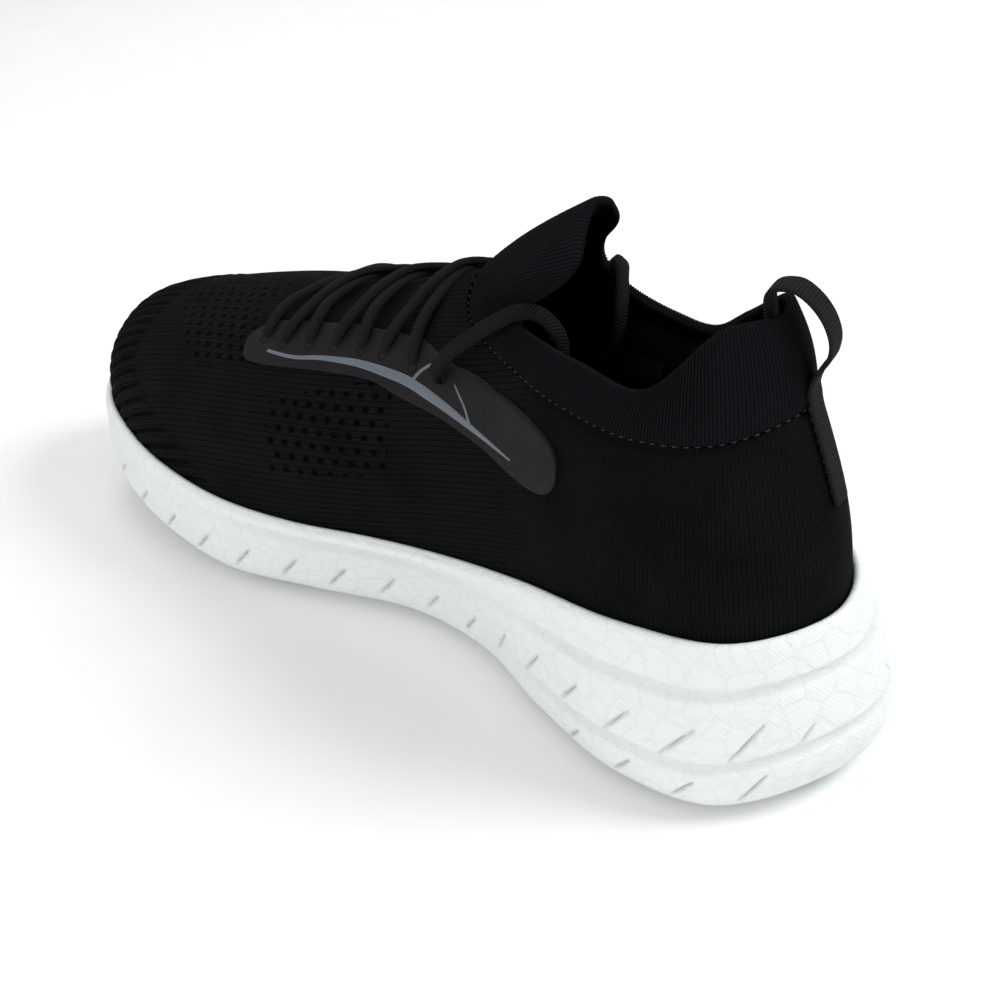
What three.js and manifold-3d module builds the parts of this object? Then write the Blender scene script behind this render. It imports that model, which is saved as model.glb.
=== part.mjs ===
// Low-cut knitted running shoe for the right foot, built as its separate pieces.
// Millimetres, +X towards the toe, +Y towards the inner (medial) side, +Z up.
import * as THREE from 'three';
import * as BufferGeometryUtils from 'three/addons/utils/BufferGeometryUtils.js';
import Module from 'manifold-3d';

const wasm = await Module();
wasm.setup();

// ---------- driving dimensions ----------
const SHOE_LENGTH = 301;         // heel foam to toe foam
const SHOE_WIDTH = 98;           // widest part of the forefoot, at the floor
const COLLAR_HEIGHT = 100;       // floor to the collar seam at the heel
const GAP = 0.3;                 // clearance between pieces that touch on the real shoe
const FACET_GAP = 1.1;           // clearance between curved sheets that lie one inside another
const SEAM_GAP = 0.8;            // between knit and cuff at the collar seam
const OUTSOLE_THICKNESS = 2.5;   // rubber pods and shank under the foam
const TOE_SPRING = 17;           // how far the toe end of the sole lifts off the floor
const HEEL_BEVEL = 7;            // how far the back edge of the heel lifts
const CUP_GAP = 0.7;             // between the foam cup and the upper
const FOOT_GAP = 0.8;            // between the cup floor and the lower edge of the upper
const LIP_WIDTH = 3;             // foam lip that stands round the foot of the upper
const CUP_DEPTH = 8;             // how deep the upper sits in the foam
const KNIT_THICKNESS = 2;
const CUFF_THICKNESS = 2.6;
const COUNTER_THICKNESS = 1.5;
const PUFF_THICKNESS = 0.8;
const LINING_THICKNESS = 1;
const FOAM_THICKNESS = 4;        // padding beside the ankle
const BOARD_THICKNESS = 1.5;
const SOCKLINER_THICKNESS = 4;
const FILM_THICKNESS = 0.8;      // welded film over the eyelets
const FILM_GAP = 0.6;            // between knit and film, and between film and stripe
const STRIPE_THICKNESS = 0.4;
const LACE_DIAMETER = 3;         // a flat 4.2 x 2.2 lace, drawn as a round cord of the same section
const EYELET_RADIUS = LACE_DIAMETER / 2 + 1;
const AGLET_DIAMETER = 2.6;
const AGLET_LENGTH = 20;
const LOOP_WIDTH = 7;
const LOOP_THICKNESS = 1.2;

// The outlines below are drawn for a 301 x 98 shoe with a 100 mm collar, and scale from it.
const LONG = SHOE_LENGTH / 301;
const WIDE = SHOE_WIDTH / 98;
const TALL = COLLAR_HEIGHT / 100;

// The first half of the stations runs along the medial side from toe to heel, and the rest back
// along the lateral side.
const SOLE_RIM = [
  [299.5, 5], [293, 22], [278, 34.5], [255, 43.5], [228, 47.3], [200, 46.5], [172, 38],
  [140, 27.5], [110, 28], [80, 37], [48, 42.8], [19, 35.5], [0, 4],
  [17, -28], [45, -37.5], [80, -39], [110, -39.5], [140, -41.5], [172, -47], [200, -50.7],
  [228, -50.5], [255, -43], [278, -28], [293, -11],
];
const UPPER_FOOT = [
  [293.3, 5], [288, 18.5], [275.5, 30.8], [253.5, 39.2], [229, 44.2], [200, 45.6], [172, 42],
  [140, 34.8], [110, 32.6], [80, 34], [50, 34.6], [22, 27.3], [9, 6],
  [21, -16.5], [47, -28.5], [80, -32], [110, -34.5], [140, -38], [172, -43.5], [200, -47],
  [228, -46.5], [254, -38.5], [275, -24.5], [288, -8.5],
];
// The collar is soft: its lateral side is lower and leans further in than its medial side.
const COLLAR_SEAM = [
  [120, 0, 107], [119.6, 3, 106.6], [118.6, 6.2, 105.6], [117, 9.2, 104.3], [114.5, 12.4, 103],
  [110.5, 16, 102], [104, 19.6, 101], [95, 23.2, 100], [83, 27, 99], [67, 31, 98],
  [44, 32, 97], [25, 23.5, 97.5], [16.5, 4, 100],
  [29, -15, 97], [46, -24, 92], [66, -26.5, 89.5], [83, -25.5, 91], [95, -22.5, 95], [104, -19.6, 98.5],
  [110.5, -16, 101], [114.5, -12.4, 102.6], [117, -9.2, 104], [118.6, -6.2, 105.4], [119.6, -3, 106.5],
];
const COLLAR_EDGE = [
  [79, 0, 134.5], [77.5, 5, 133.4], [75, 10, 130.5], [73.5, 14, 125.5], [77, 15.5, 119.5],
  [84, 15.8, 113.5], [92, 15.5, 109], [90, 18.5, 107.3], [80, 22.5, 107.5], [63, 27, 108.5],
  [42, 28.5, 108.5], [26.5, 21, 123], [21.5, 4, 121.8],
  [30, -8, 120], [47, -14.5, 108], [60, -18, 99], [74, -20, 98], [86, -21, 99.5], [92.5, -20, 103.5],
  [94.5, -18, 109.5], [91, -15.5, 116.5], [84, -13, 124], [80.5, -8, 130.5], [78.8, -4, 133.6],
];
const LIP_HEIGHT = [
  [-2, 52], [20, 49], [45, 48], [80, 45], [110, 39.5], [140, 35], [172, 32.5], [205, 31.8],
  [240, 32.5], [278, 34.8], [301, 39],
];

// Sizes of the foam rings, measured in from the sole rim or up the wall.
const TREAD_INSET = 7;
const TREAD_ROUND = 2.5;

const STATIONS = SOLE_RIM.length;
const AROUND = 60;               // points round each ring of the shoe
const UP = new THREE.Vector3(0, 0, 1);

// ---------- curves and surfaces ----------
function catmull(p, q, r, s, f) {
  const square = f * f;
  const cube = square * f;
  return 0.5 * (2 * q + (r - p) * f + (2 * p - 5 * q + 4 * r - s) * square + (3 * q - p - 3 * r + s) * cube);
}

// A smooth closed line through its stations; share runs from 0 at the toe round to 1.
function closedLine(stations, share) {
  const count = stations.length;
  const place = (((share % 1) + 1) % 1) * count;
  const start = Math.floor(place);
  const part = place - start;
  const pick = (step, axis) => stations[(start + step + count) % count][axis] ?? 0;
  return [0, 1, 2].map((axis) => catmull(pick(-1, axis), pick(0, axis), pick(1, axis), pick(2, axis), part));
}

function heightAlong(table, x) {
  const keys = table.map(([key]) => key);
  let right = keys.findIndex((key) => key > x);
  if (right < 0) right = keys.length - 1;
  right = Math.max(right, 1);
  const pick = (index) => table[Math.min(Math.max(index, 0), table.length - 1)][1];
  const part = THREE.MathUtils.clamp((x - keys[right - 1]) / (keys[right] - keys[right - 1]), 0, 1);
  return catmull(pick(right - 2), pick(right - 1), pick(right), pick(right + 1), part);
}

const lipHeight = (x) => heightAlong(LIP_HEIGHT, x / LONG) * TALL;

function floorHeight(x) {
  const spring = Math.max(0, (x / LONG - 195) / 104);
  const bevel = Math.max(0, (25 - x / LONG) / 25);
  return TOE_SPRING * spring * spring + HEEL_BEVEL * bevel * bevel;
}

const cupFloor = (x) => lipHeight(x) - CUP_DEPTH;

function planLine(stations, share) {
  const [x, y] = closedLine(stations, share);
  return new THREE.Vector3(x * LONG, y * WIDE, 0);
}

const solePoint = (share) => planLine(SOLE_RIM, share);

function footPoint(share) {
  const point = planLine(UPPER_FOOT, share);
  point.z = cupFloor(point.x) + FOOT_GAP;
  return point;
}

function collarPoint(stations, share) {
  const [x, y, z] = closedLine(stations, share);
  return new THREE.Vector3(x * LONG, y * WIDE, z * TALL);
}

// Sideways direction, level and pointing away from the shoe, at a share of a plan line.
function outward(line, share) {
  const step = 0.25 / STATIONS;
  const along = line(share + step).sub(line(share - step));
  return new THREE.Vector3(-along.y, along.x, 0).normalize().negate();
}

const bezier = (t, first, second) => 3 * t * (1 - t) ** 2 * first + 3 * t * t * (1 - t) * second + t ** 3;

// The outside of the knit: rise 0 at the foot of the upper, 1 at the collar seam, 2 at the top edge.
const VAMP_PROFILE = { across: [-0.03, 0.42], high: [0.58, 0.5] };
const WALL_PROFILE = { across: [0.02, 0.55], high: [0.33, 0.67] };
const HEEL_BULGE = 1.6;
const VAMP_BULGE = 1.2;

function upperPoint(share, rise) {
  const seam = collarPoint(COLLAR_SEAM, share);
  if (rise > 1) {
    const edge = collarPoint(COLLAR_EDGE, share);
    const point = seam.clone().lerp(edge, rise - 1);
    const bow = Math.sin(Math.PI * (rise - 1)) * 0.05 * seam.distanceTo(edge);
    return point.addScaledVector(outward((s) => collarPoint(COLLAR_SEAM, s), share), bow);
  }
  const foot = footPoint(share);
  const fromToe = Math.min(share, 1 - share) * 2;
  const wall = THREE.MathUtils.smoothstep(fromToe, 0.1, 0.75);
  const mix = (kind, index) => {
    return THREE.MathUtils.lerp(VAMP_PROFILE[kind][index], WALL_PROFILE[kind][index], wall);
  };
  const across = bezier(rise, mix('across', 0), mix('across', 1));
  const high = bezier(rise, mix('high', 0), mix('high', 1));
  const bulge = THREE.MathUtils.lerp(VAMP_BULGE, HEEL_BULGE, wall) * Math.sin(Math.PI * rise);
  const point = new THREE.Vector3().lerpVectors(foot, seam, across);
  point.z = THREE.MathUtils.lerp(foot.z, seam.z, high);
  return point.addScaledVector(outward(footPoint, share), bulge);
}

function upperNormal(share, rise) {
  const step = 0.004;
  const low = Math.max(rise - 0.02, 0);
  const along = upperPoint(share + step, rise).sub(upperPoint(share - step, rise));
  const upward = upperPoint(share, low + 0.04).sub(upperPoint(share, low));
  return along.cross(upward).normalize();
}

// A point a depth inside the outer face of the upper; a negative depth stands proud of it.
function insideUpper(share, rise, depth) {
  return upperPoint(share, rise).addScaledVector(upperNormal(share, rise), -depth);
}

// Where the upper passes a given height above its foot.
function riseAt(share, height) {
  let low = 0;
  let high = 1;
  const foot = upperPoint(share, 0).z;
  for (let turn = 0; turn < 24; turn += 1) {
    const middle = (low + high) / 2;
    if (upperPoint(share, middle).z - foot < height) low = middle;
    else high = middle;
  }
  return low;
}

// ---------- solids from grids of points ----------
function geometryFrom(points, faces) {
  const geometry = new THREE.BufferGeometry();
  const places = points.flatMap((p) => [p.x, p.y, p.z]);
  geometry.setAttribute('position', new THREE.Float32BufferAttribute(places, 3));
  geometry.setIndex(faces.flat());
  return geometry;
}

function signedVolume(geometry) {
  const place = geometry.getAttribute('position');
  const index = geometry.getIndex();
  const corner = [0, 1, 2].map(() => new THREE.Vector3());
  let sum = 0;
  for (let face = 0; face < index.count; face += 3) {
    corner.forEach((point, k) => point.fromBufferAttribute(place, index.getX(face + k)));
    sum += corner[0].dot(corner[1].clone().cross(corner[2]));
  }
  return sum / 6;
}

// Turns the faces of a closed solid outwards.
function facedOut(geometry) {
  if (signedVolume(geometry) > 0) return geometry;
  const index = geometry.getIndex();
  for (let face = 0; face < index.count; face += 3) {
    const first = index.getX(face);
    index.setX(face, index.getX(face + 1));
    index.setX(face + 1, first);
  }
  return geometry;
}

// Joins a stack of closed rings, and closes both ends with rungs across from side to side.
function stackedRings(rings) {
  const count = rings[0].length;
  const points = rings.flat();
  const faces = [];
  for (let level = 0; level + 1 < rings.length; level += 1) {
    for (let k = 0; k < count; k += 1) {
      const a = level * count + k;
      const b = level * count + ((k + 1) % count);
      faces.push([a, b, b + count], [a, b + count, a + count]);
    }
  }
  const closeEnd = (base, flip) => {
    for (let k = 0; k < count / 2; k += 1) {
      const quad = [k, k + 1, (count - k - 1) % count, (count - k) % count].map((n) => base + n);
      const sides = [[quad[0], quad[2], quad[1]], [quad[0], quad[3], quad[2]]];
      sides.filter((side) => new Set(side).size === 3)
        .forEach((side) => faces.push(flip ? [side[0], side[2], side[1]] : side));
    }
  };
  closeEnd(0, false);
  closeEnd((rings.length - 1) * count, true);
  return facedOut(geometryFrom(points, faces));
}

// A sheet with thickness, from matching outer and inner grids of points.
function thickSheet(outer, inner, wraps) {
  const rows = outer.length;
  const columns = outer[0].length;
  const points = [...outer.flat(), ...inner.flat()];
  const far = rows * columns;
  const faces = [];
  const at = (row, column) => row * columns + (wraps ? (column + columns) % columns : column);
  const quad = (a, b, c, d) => faces.push([a, b, c], [a, c, d]);
  const spans = wraps ? columns : columns - 1;
  for (let row = 0; row + 1 < rows; row += 1) {
    for (let column = 0; column < spans; column += 1) {
      const square = [at(row, column), at(row, column + 1), at(row + 1, column + 1), at(row + 1, column)];
      quad(...square);
      quad(...square.map((n) => n + far).reverse());
    }
    if (!wraps) {
      quad(at(row, 0), at(row + 1, 0), at(row + 1, 0) + far, at(row, 0) + far);
      const last = columns - 1;
      quad(at(row + 1, last), at(row, last), at(row, last) + far, at(row + 1, last) + far);
    }
  }
  for (let column = 0; column < spans; column += 1) {
    const top = rows - 1;
    quad(at(0, column + 1), at(0, column), at(0, column) + far, at(0, column + 1) + far);
    quad(at(top, column), at(top, column + 1), at(top, column + 1) + far, at(top, column) + far);
  }
  return facedOut(geometryFrom(points, faces));
}

function steps(from, to, count) {
  return Array.from({ length: count + 1 }, (_, k) => from + (to - from) * k / count);
}

// A patch of the upper between two shares and two rises, from one depth to another.
function upperPatch({ shares, rises, from, to, columns, rows }) {
  const wraps = shares[1] - shares[0] >= 1;
  const across = steps(shares[0], shares[1], columns).slice(0, wraps ? -1 : undefined);
  const pick = (value, share, part) => (typeof value === 'function' ? value(share, part) : value);
  const grid = (depth) => steps(0, 1, rows).map((part) => across.map((share) => {
    const low = pick(rises[0], share);
    const high = pick(rises[1], share);
    return insideUpper(share, low + (high - low) * part, pick(depth, share, part));
  }));
  return thickSheet(grid(from), grid(to), wraps);
}

// ---------- places on the upper, drawn in the side view ----------
const SEARCH_SHARES = 120;
const SEARCH_RISES = 24;

// Finds the share and rise whose point has the wanted values on two axes.
function locate(side, axes, wanted) {
  const half = side > 0 ? [0.005, 0.495] : [0.505, 0.995];
  const miss = (spot) => {
    const point = upperPoint(spot[0], spot[1]);
    return [point.getComponent(axes[0]) - wanted[0], point.getComponent(axes[1]) - wanted[1]];
  };
  let best = null;
  for (const share of steps(half[0], half[1], SEARCH_SHARES / 2)) {
    for (const rise of steps(0.02, 0.98, SEARCH_RISES)) {
      const error = Math.hypot(...miss([share, rise]));
      if (!best || error < best.error) best = { error, spot: [share, rise] };
    }
  }
  let spot = best.spot;
  const nudge = 1e-4;
  for (let turn = 0; turn < 12; turn += 1) {
    const here = miss(spot);
    const alongShare = miss([spot[0] + nudge, spot[1]]).map((value, k) => (value - here[k]) / nudge);
    const alongRise = miss([spot[0], spot[1] + nudge]).map((value, k) => (value - here[k]) / nudge);
    const scale = alongShare[0] * alongRise[1] - alongShare[1] * alongRise[0];
    if (Math.abs(scale) < 1e-6) break;
    const byShare = (here[0] * alongRise[1] - here[1] * alongRise[0]) / scale;
    const byRise = (here[1] * alongShare[0] - here[0] * alongShare[1]) / scale;
    spot = [
      spot[0] - THREE.MathUtils.clamp(byShare, -0.02, 0.02),
      spot[1] - THREE.MathUtils.clamp(byRise, -0.1, 0.1),
    ];
  }
  return spot;
}

const SIDES = { medial: 1, lateral: -1 };
const X_AXIS = 0;
const Y_AXIS = 1;
const Z_AXIS = 2;
const LATERAL_DROP = 2;

// The same outline serves both sides: the side view is shifted down where the lateral side is lower.
function sidePlace(side, [x, z]) {
  const drop = side === SIDES.lateral ? LATERAL_DROP : 0;
  return locate(side, [X_AXIS, Z_AXIS], [x * LONG, z * TALL - drop]);
}

function alongPath(points, share) {
  const place = share * (points.length - 1);
  const start = Math.min(Math.floor(place), points.length - 2);
  const pick = (index) => points[THREE.MathUtils.clamp(index, 0, points.length - 1)];
  return points[0].map((_, axis) => catmull(
    pick(start - 1)[axis], pick(start)[axis], pick(start + 1)[axis], pick(start + 2)[axis], place - start));
}

// ---------- solids for cutting ----------
function asManifold(geometry) {
  const bare = geometry.clone();
  bare.deleteAttribute('normal');
  bare.deleteAttribute('uv');
  const merged = BufferGeometryUtils.mergeVertices(bare, 1e-5);
  return new wasm.Manifold(new wasm.Mesh({
    numProp: 3,
    vertProperties: merged.getAttribute('position').array,
    triVerts: new Uint32Array(merged.getIndex().array),
  }));
}

function asGeometry(manifold) {
  const mesh = manifold.getMesh();
  const geometry = new THREE.BufferGeometry();
  geometry.setAttribute('position', new THREE.BufferAttribute(new Float32Array(mesh.vertProperties), 3));
  geometry.setIndex(new THREE.BufferAttribute(new Uint32Array(mesh.triVerts), 1));
  return geometry;
}

function cut(geometry, tools) {
  return asGeometry(tools.reduce((solid, tool) => solid.subtract(asManifold(tool)), asManifold(geometry)));
}

const PUNCH_SIDES = 8;

function punch(centre, axis, radius, length) {
  const geometry = new THREE.CylinderGeometry(radius, radius, length, PUNCH_SIDES);
  geometry.applyQuaternion(new THREE.Quaternion().setFromUnitVectors(new THREE.Vector3(0, 1, 0), axis));
  return geometry.translate(centre.x, centre.y, centre.z);
}

// ---------- sole ----------
const ringShares = steps(0, 1, AROUND).slice(0, -1);

// A ring between the sole rim and the foot of the upper: mix 0 is the rim, and swell pushes it out.
function foamRing(mix, swell, height) {
  return ringShares.map((share) => {
    const point = solePoint(share).lerp(planLine(UPPER_FOOT, share), mix);
    point.addScaledVector(outward(solePoint, share), swell);
    point.z = height(point.x);
    return point;
  });
}

// A ring that stands a clearance outside the upper, at a height above the cup floor.
function cupRing(clear, height) {
  return ringShares.map((share) => {
    const point = upperPoint(share, riseAt(share, height));
    point.addScaledVector(outward(footPoint, share), clear);
    point.z = cupFloor(point.x) + height;
    return point;
  });
}

function midsole() {
  const base = (x) => floorHeight(x) + OUTSOLE_THICKNESS + GAP;
  const between = (part) => (x) => THREE.MathUtils.lerp(base(x), lipHeight(x), part);
  return stackedRings([
    foamRing(0, -TREAD_INSET, base),
    foamRing(0, -TREAD_ROUND, (x) => base(x) + 1),
    foamRing(0, 0, between(0.16)),
    foamRing(0.15, 0.6, between(0.4)),
    foamRing(0.45, 1.2, between(0.66)),
    cupRing(LIP_WIDTH + CUP_GAP, CUP_DEPTH - 3),
    cupRing(LIP_WIDTH * 0.5 + CUP_GAP, CUP_DEPTH),
    cupRing(CUP_GAP, CUP_DEPTH - 1),
    cupRing(CUP_GAP, 0),
  ]);
}

// A piece of sole rubber that follows an outline in plan and the curve of the floor line. It is made
// too thick, and the foam, moved down by the clearance, trims its top to seat against the foam.
const POD_EXCESS = 1.5;

function solePod(outline, foam) {
  const corners = outline.map(([x, y]) => new THREE.Vector3(x * LONG, y * WIDE, 0));
  const curve = new THREE.CatmullRomCurve3(corners, true);
  const ring = (height) => curve.getPoints(outline.length * 3).slice(0, -1)
    .map((point) => new THREE.Vector3(point.x, point.y, floorHeight(point.x) + height));
  const tooThick = stackedRings([ring(0), ring(OUTSOLE_THICKNESS + POD_EXCESS)]);
  return cut(tooThick, [foam.clone().translate(0, 0, -GAP)]);
}

const POD_OUTLINES = {
  outsole_toe: [[289, 4], [283, 17], [266, 26], [254, 24], [252, 2], [254, -20], [268, -20], [282, -8]],
  outsole_forefoot_medial: [
    [246, 3], [245, 24], [238, 36], [215, 39], [188, 36], [176, 26], [180, 8], [200, 4],
    [222, 3], [236, 1],
  ],
  outsole_forefoot_lateral: [
    [246, -3], [236, -3], [218, -3], [196, -4], [174, -8], [158, -18], [164, -35],
    [190, -42], [222, -42], [242, -33],
  ],
  outsole_heel_medial: [[92, 24], [78, 30], [52, 35], [34, 33], [26, 24], [30, 14], [50, 12], [76, 14]],
  outsole_heel_lateral: [
    [94, -28], [78, -31], [50, -30], [34, -25], [30, -14], [44, -8], [70, -9], [88, -14],
  ],
  heel_lug: [[22, 20], [13, 16], [8, 6], [10, -6], [20, -17], [26, -12], [20, 2], [25, 13]],
};

// A stiff plate set flush under the arch between the rubber pods.
const SHANK_OUTLINE = [
  [160, 4], [150, 12], [126, 10], [104, 10], [100, 2], [104, -9], [128, -14], [150, -10],
];

// ---------- inside the shoe ----------
// A plate that fills the upper at a height above the cup floor, in from the outside by an inset.
function innerPlate(inset, bottom, thickness) {
  const ring = (height) => ringShares.map((share) => {
    const point = planLine(UPPER_FOOT, share).addScaledVector(outward(footPoint, share), -inset);
    point.z = cupFloor(point.x) + height;
    return point;
  });
  return stackedRings([ring(bottom), ring(bottom + thickness)]);
}

const BOARD_INSET = KNIT_THICKNESS + 2 * GAP;
const BOARD_BOTTOM = 1.5 * GAP;
const BOARD_TOP = BOARD_BOTTOM + BOARD_THICKNESS;
const COUNTER_DEPTH = KNIT_THICKNESS + FACET_GAP;
const PUFF_DEPTH = COUNTER_DEPTH + GAP;
const FOAM_DEPTH = KNIT_THICKNESS + FACET_GAP;
const LINING_LOW_DEPTH = COUNTER_DEPTH + COUNTER_THICKNESS + FACET_GAP;
const LINING_HIGH_DEPTH = FOAM_DEPTH + FOAM_THICKNESS + FACET_GAP;
const SOCKLINER_INSET = LINING_LOW_DEPTH + LINING_THICKNESS + 2 * GAP;
const HEEL_SHARES = [0.37, 0.63];
const LINING_SHARES = [0.31, 0.69];
const LINING_TOP = 0.97;
const FOAM_SHARES = { medial: [0.36, 0.46], lateral: [0.54, 0.64] };
const COUNTER_TOP = 0.55;
const FOAM_RISES = [0.64, 0.95];

function liningDepth(share, part) {
  const change = THREE.MathUtils.smoothstep(part, 0.42, 0.58);
  return THREE.MathUtils.lerp(LINING_LOW_DEPTH, LINING_HIGH_DEPTH, change);
}

const LABEL_SHARES = [0.655, 0.685];
const LABEL_RISES = [0.66, 0.9];
const LABEL_THICKNESS = 0.4;
const LABEL_DEPTH = LINING_HIGH_DEPTH + LINING_THICKNESS + FACET_GAP / 2;

const aboveBoard = (share) => riseAt(share, BOARD_TOP + GAP);

// ---------- film, stripe and eyelets, drawn in the side view as x and z ----------
const EYELETS = [
  [188, 77.3], [179, 78.6], [168, 81], [157.5, 83.2], [146, 85.6], [136.5, 87.2],
  [123.5, 88], [111.5, 89],
];
const FILM_TOP = [
  [196.5, 76], [187, 81], [165, 86], [151, 89], [125, 93.5], [114, 93], [98, 93], [82, 92], [65, 90],
];
const FILM_LOW = [
  [194, 72.5], [188, 72.5], [161, 77.5], [139, 81], [125, 80], [108, 78.5], [93, 76.5],
  [78, 73.5], [66, 73],
];
const STRIPE = [
  [182, 75.6], [164, 79.3], [145, 83], [132, 84.3], [122, 84.5], [111, 82.8], [98, 80.8], [82, 79],
];
const STRIPE_WIDTHS = [1, 1.6, 2.2, 2.8, 3, 2.4, 1.4, 0.5];

// A sheet laid on the upper between two lines drawn in the side view.
function layOnUpper(side, low, high, from, to, columns, rows) {
  const lowSpots = low.map((point) => sidePlace(side, point));
  const highSpots = high.map((point) => sidePlace(side, point));
  const grid = (depth) => steps(0, 1, rows).map((part) => steps(0, 1, columns).map((along) => {
    const below = alongPath(lowSpots, along);
    const above = alongPath(highSpots, along);
    const spot = below.map((value, axis) => THREE.MathUtils.lerp(value, above[axis], part));
    return insideUpper(spot[0], spot[1], depth);
  }));
  return thickSheet(grid(from), grid(to), false);
}

function stripeEdges() {
  const low = STRIPE.map(([x, z], k) => [x, z - STRIPE_WIDTHS[k] / 2]);
  const high = STRIPE.map(([x, z], k) => [x, z + STRIPE_WIDTHS[k] / 2]);
  return [low, high];
}

function eyeletPunches() {
  return Object.values(SIDES).flatMap((side) => EYELETS.map((eyelet) => {
    const spot = sidePlace(side, eyelet);
    return punch(insideUpper(spot[0], spot[1], 0), upperNormal(spot[0], spot[1]), EYELET_RADIUS, 12);
  }));
}

// ---------- laces ----------
const CORD_SIDES = 8;
const X_DIRECTION = new THREE.Vector3(1, 0, 0);

// A round cord through its points, with a section turned along with the path.
function cordThrough(points, radius) {
  const leg = (k) => points[k + 1].clone().sub(points[k]).normalize();
  const last = points.length - 1;
  const ahead = points.map((point, k) => leg(Math.min(k, last - 1)).add(leg(Math.max(k - 1, 0))).normalize());
  let across = new THREE.Vector3().crossVectors(ahead[0], X_DIRECTION).normalize();
  const rings = points.map((point, k) => {
    across = across.clone().addScaledVector(ahead[k], -across.dot(ahead[k])).normalize();
    const up = new THREE.Vector3().crossVectors(ahead[k], across);
    return steps(0, 2 * Math.PI, CORD_SIDES).slice(0, -1).map((angle) => point.clone()
      .addScaledVector(across, Math.cos(angle) * radius)
      .addScaledVector(up, Math.sin(angle) * radius));
  });
  return stackedRings(rings);
}

const LACE_LIFT = 0.7;           // the instep is rounded between the points of the path
const ON_FILM = FILM_GAP + FILM_THICKNESS + GAP + LACE_DIAMETER / 2;
const ON_KNIT = GAP + LACE_LIFT + LACE_DIAMETER / 2;
const ON_LACE = ON_KNIT + LACE_DIAMETER + LACE_LIFT;
const UNDER_KNIT = -(KNIT_THICKNESS + GAP + LACE_DIAMETER / 2);

// Crossings over the instep, in the order in which the lace makes them: from side and row, to side
// and row, and whether it passes over the other lace. Between crossings it runs inside to the next row.
const CROSSINGS = [
  ['medial', 6, 'lateral', 5, false], ['lateral', 4, 'medial', 3, true], ['medial', 2, 'lateral', 1, false],
  ['lateral', 0, 'medial', 0, false],
  ['medial', 1, 'lateral', 2, true], ['lateral', 3, 'medial', 4, false], ['medial', 5, 'lateral', 6, true],
];

function onUpper(x, y, height) {
  const side = y >= 0 ? SIDES.medial : SIDES.lateral;
  const [share, rise] = locate(side, [X_AXIS, Y_AXIS], [x, y]);
  return insideUpper(share, rise, -height);
}

function eyeletPoint(side, row, height) {
  const [share, rise] = sidePlace(SIDES[side], EYELETS[row]);
  return insideUpper(share, rise, -height);
}

function crossing([fromSide, fromRow, toSide, toRow, over]) {
  const start = eyeletPoint(fromSide, fromRow, 0);
  const end = eyeletPoint(toSide, toRow, 0);
  const shares = [0, 0.14, 0.32, 0.5, 0.68, 0.86, 1];
  const top = over ? ON_LACE : ON_KNIT;
  const side = over ? ON_LACE : ON_FILM;
  const heights = [ON_FILM, ON_FILM + LACE_LIFT, side, top, side, ON_FILM + LACE_LIFT, ON_FILM];
  return shares.map((share, k) => {
    const spot = start.clone().lerp(end, share);
    return onUpper(spot.x, spot.y, heights[k]);
  });
}

// The run inside the shoe from one eyelet to the next.
function insideRun(side, fromRow, toRow) {
  const heights = [0, UNDER_KNIT];
  const down = heights.map((height) => eyeletPoint(side, fromRow, height));
  const up = heights.map((height) => eyeletPoint(side, toRow, height)).reverse();
  return [...down, ...up];
}

const LAST_ROW = EYELETS.length - 1;
const TAIL_START = FILM_GAP + FILM_THICKNESS + GAP;

function heldLace() {
  const first = insideRun('medial', LAST_ROW, CROSSINGS[0][1]);
  const legs = CROSSINGS.flatMap((leg, k) => {
    const next = CROSSINGS[k + 1];
    const run = next ? insideRun(leg[2], leg[3], next[1]) : insideRun(leg[2], leg[3], LAST_ROW);
    return [...crossing(leg), ...run];
  });
  const ends = ['medial', 'lateral'].map((side) => eyeletPoint(side, LAST_ROW, TAIL_START));
  return cordThrough([ends[0], ...first, ...legs, ends[1]], LACE_DIAMETER / 2);
}

// The loose ends leave the top eyelets, pass over the collar beside the tongue, run forwards inside
// and lie folded on the sockliner. Each side has its own points, because the collar is lower on the
// lateral side.
const TAIL_POINTS = {
  medial: [
    [110, 28.8, 93.5], [105.5, 28, 98.5], [100, 26, 103], [94, 23, 107.5], [88.5, 19.3, 110.5],
    [85, 15.6, 109.1], [82, 13.2, 103.5], [82.8, 12.4, 96.5], [87.5, 13.2, 88], [94.5, 15.6, 79],
    [102.5, 18.6, 69.5], [111.5, 21.4, 59.5], [122, 23.6, 49.5], [136, 25, 41], [152, 25.6, 36],
    [168, 26, 34.4], [190, 26, 33.8],
    [212, 25.5, 34], [224, 23, 34.2], [228.5, 17.5, 34.4], [224, 12, 34.2], [212, 9.5, 34], [196, 9, 33.8],
  ],
  lateral: [
    [110, -28.5, 91.5], [105.8, -28.5, 96], [101.3, -27, 99.8], [97, -24.8, 103.4], [92.8, -21.8, 106],
    [88.6, -17, 105.6], [85.8, -13.2, 100.4], [87, -12.4, 92.4], [92.2, -13.4, 83.5], [99, -14.8, 75],
    [107.5, -17.6, 65.6], [116.5, -20.6, 56], [126, -23, 47.2], [138.5, -24.6, 40], [152, -25.6, 36],
    [168, -26, 34.4], [190, -26, 33.8], [212, -25.5, 34], [224, -23, 34.2], [228.5, -17.5, 34.4],
    [224, -12, 34.2], [212, -9.5, 34], [196, -9, 33.8],
  ],
};
const TAIL_STEPS = 40;

function tailCurve(side) {
  const start = eyeletPoint(side, LAST_ROW, TAIL_START + GAP);
  const away = eyeletPoint(side, LAST_ROW, TAIL_START + GAP + 1.5);
  const points = TAIL_POINTS[side].map(([x, y, z]) => new THREE.Vector3(x * LONG, y * WIDE, z * TALL));
  return new THREE.CatmullRomCurve3([start, away, ...points]);
}

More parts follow.
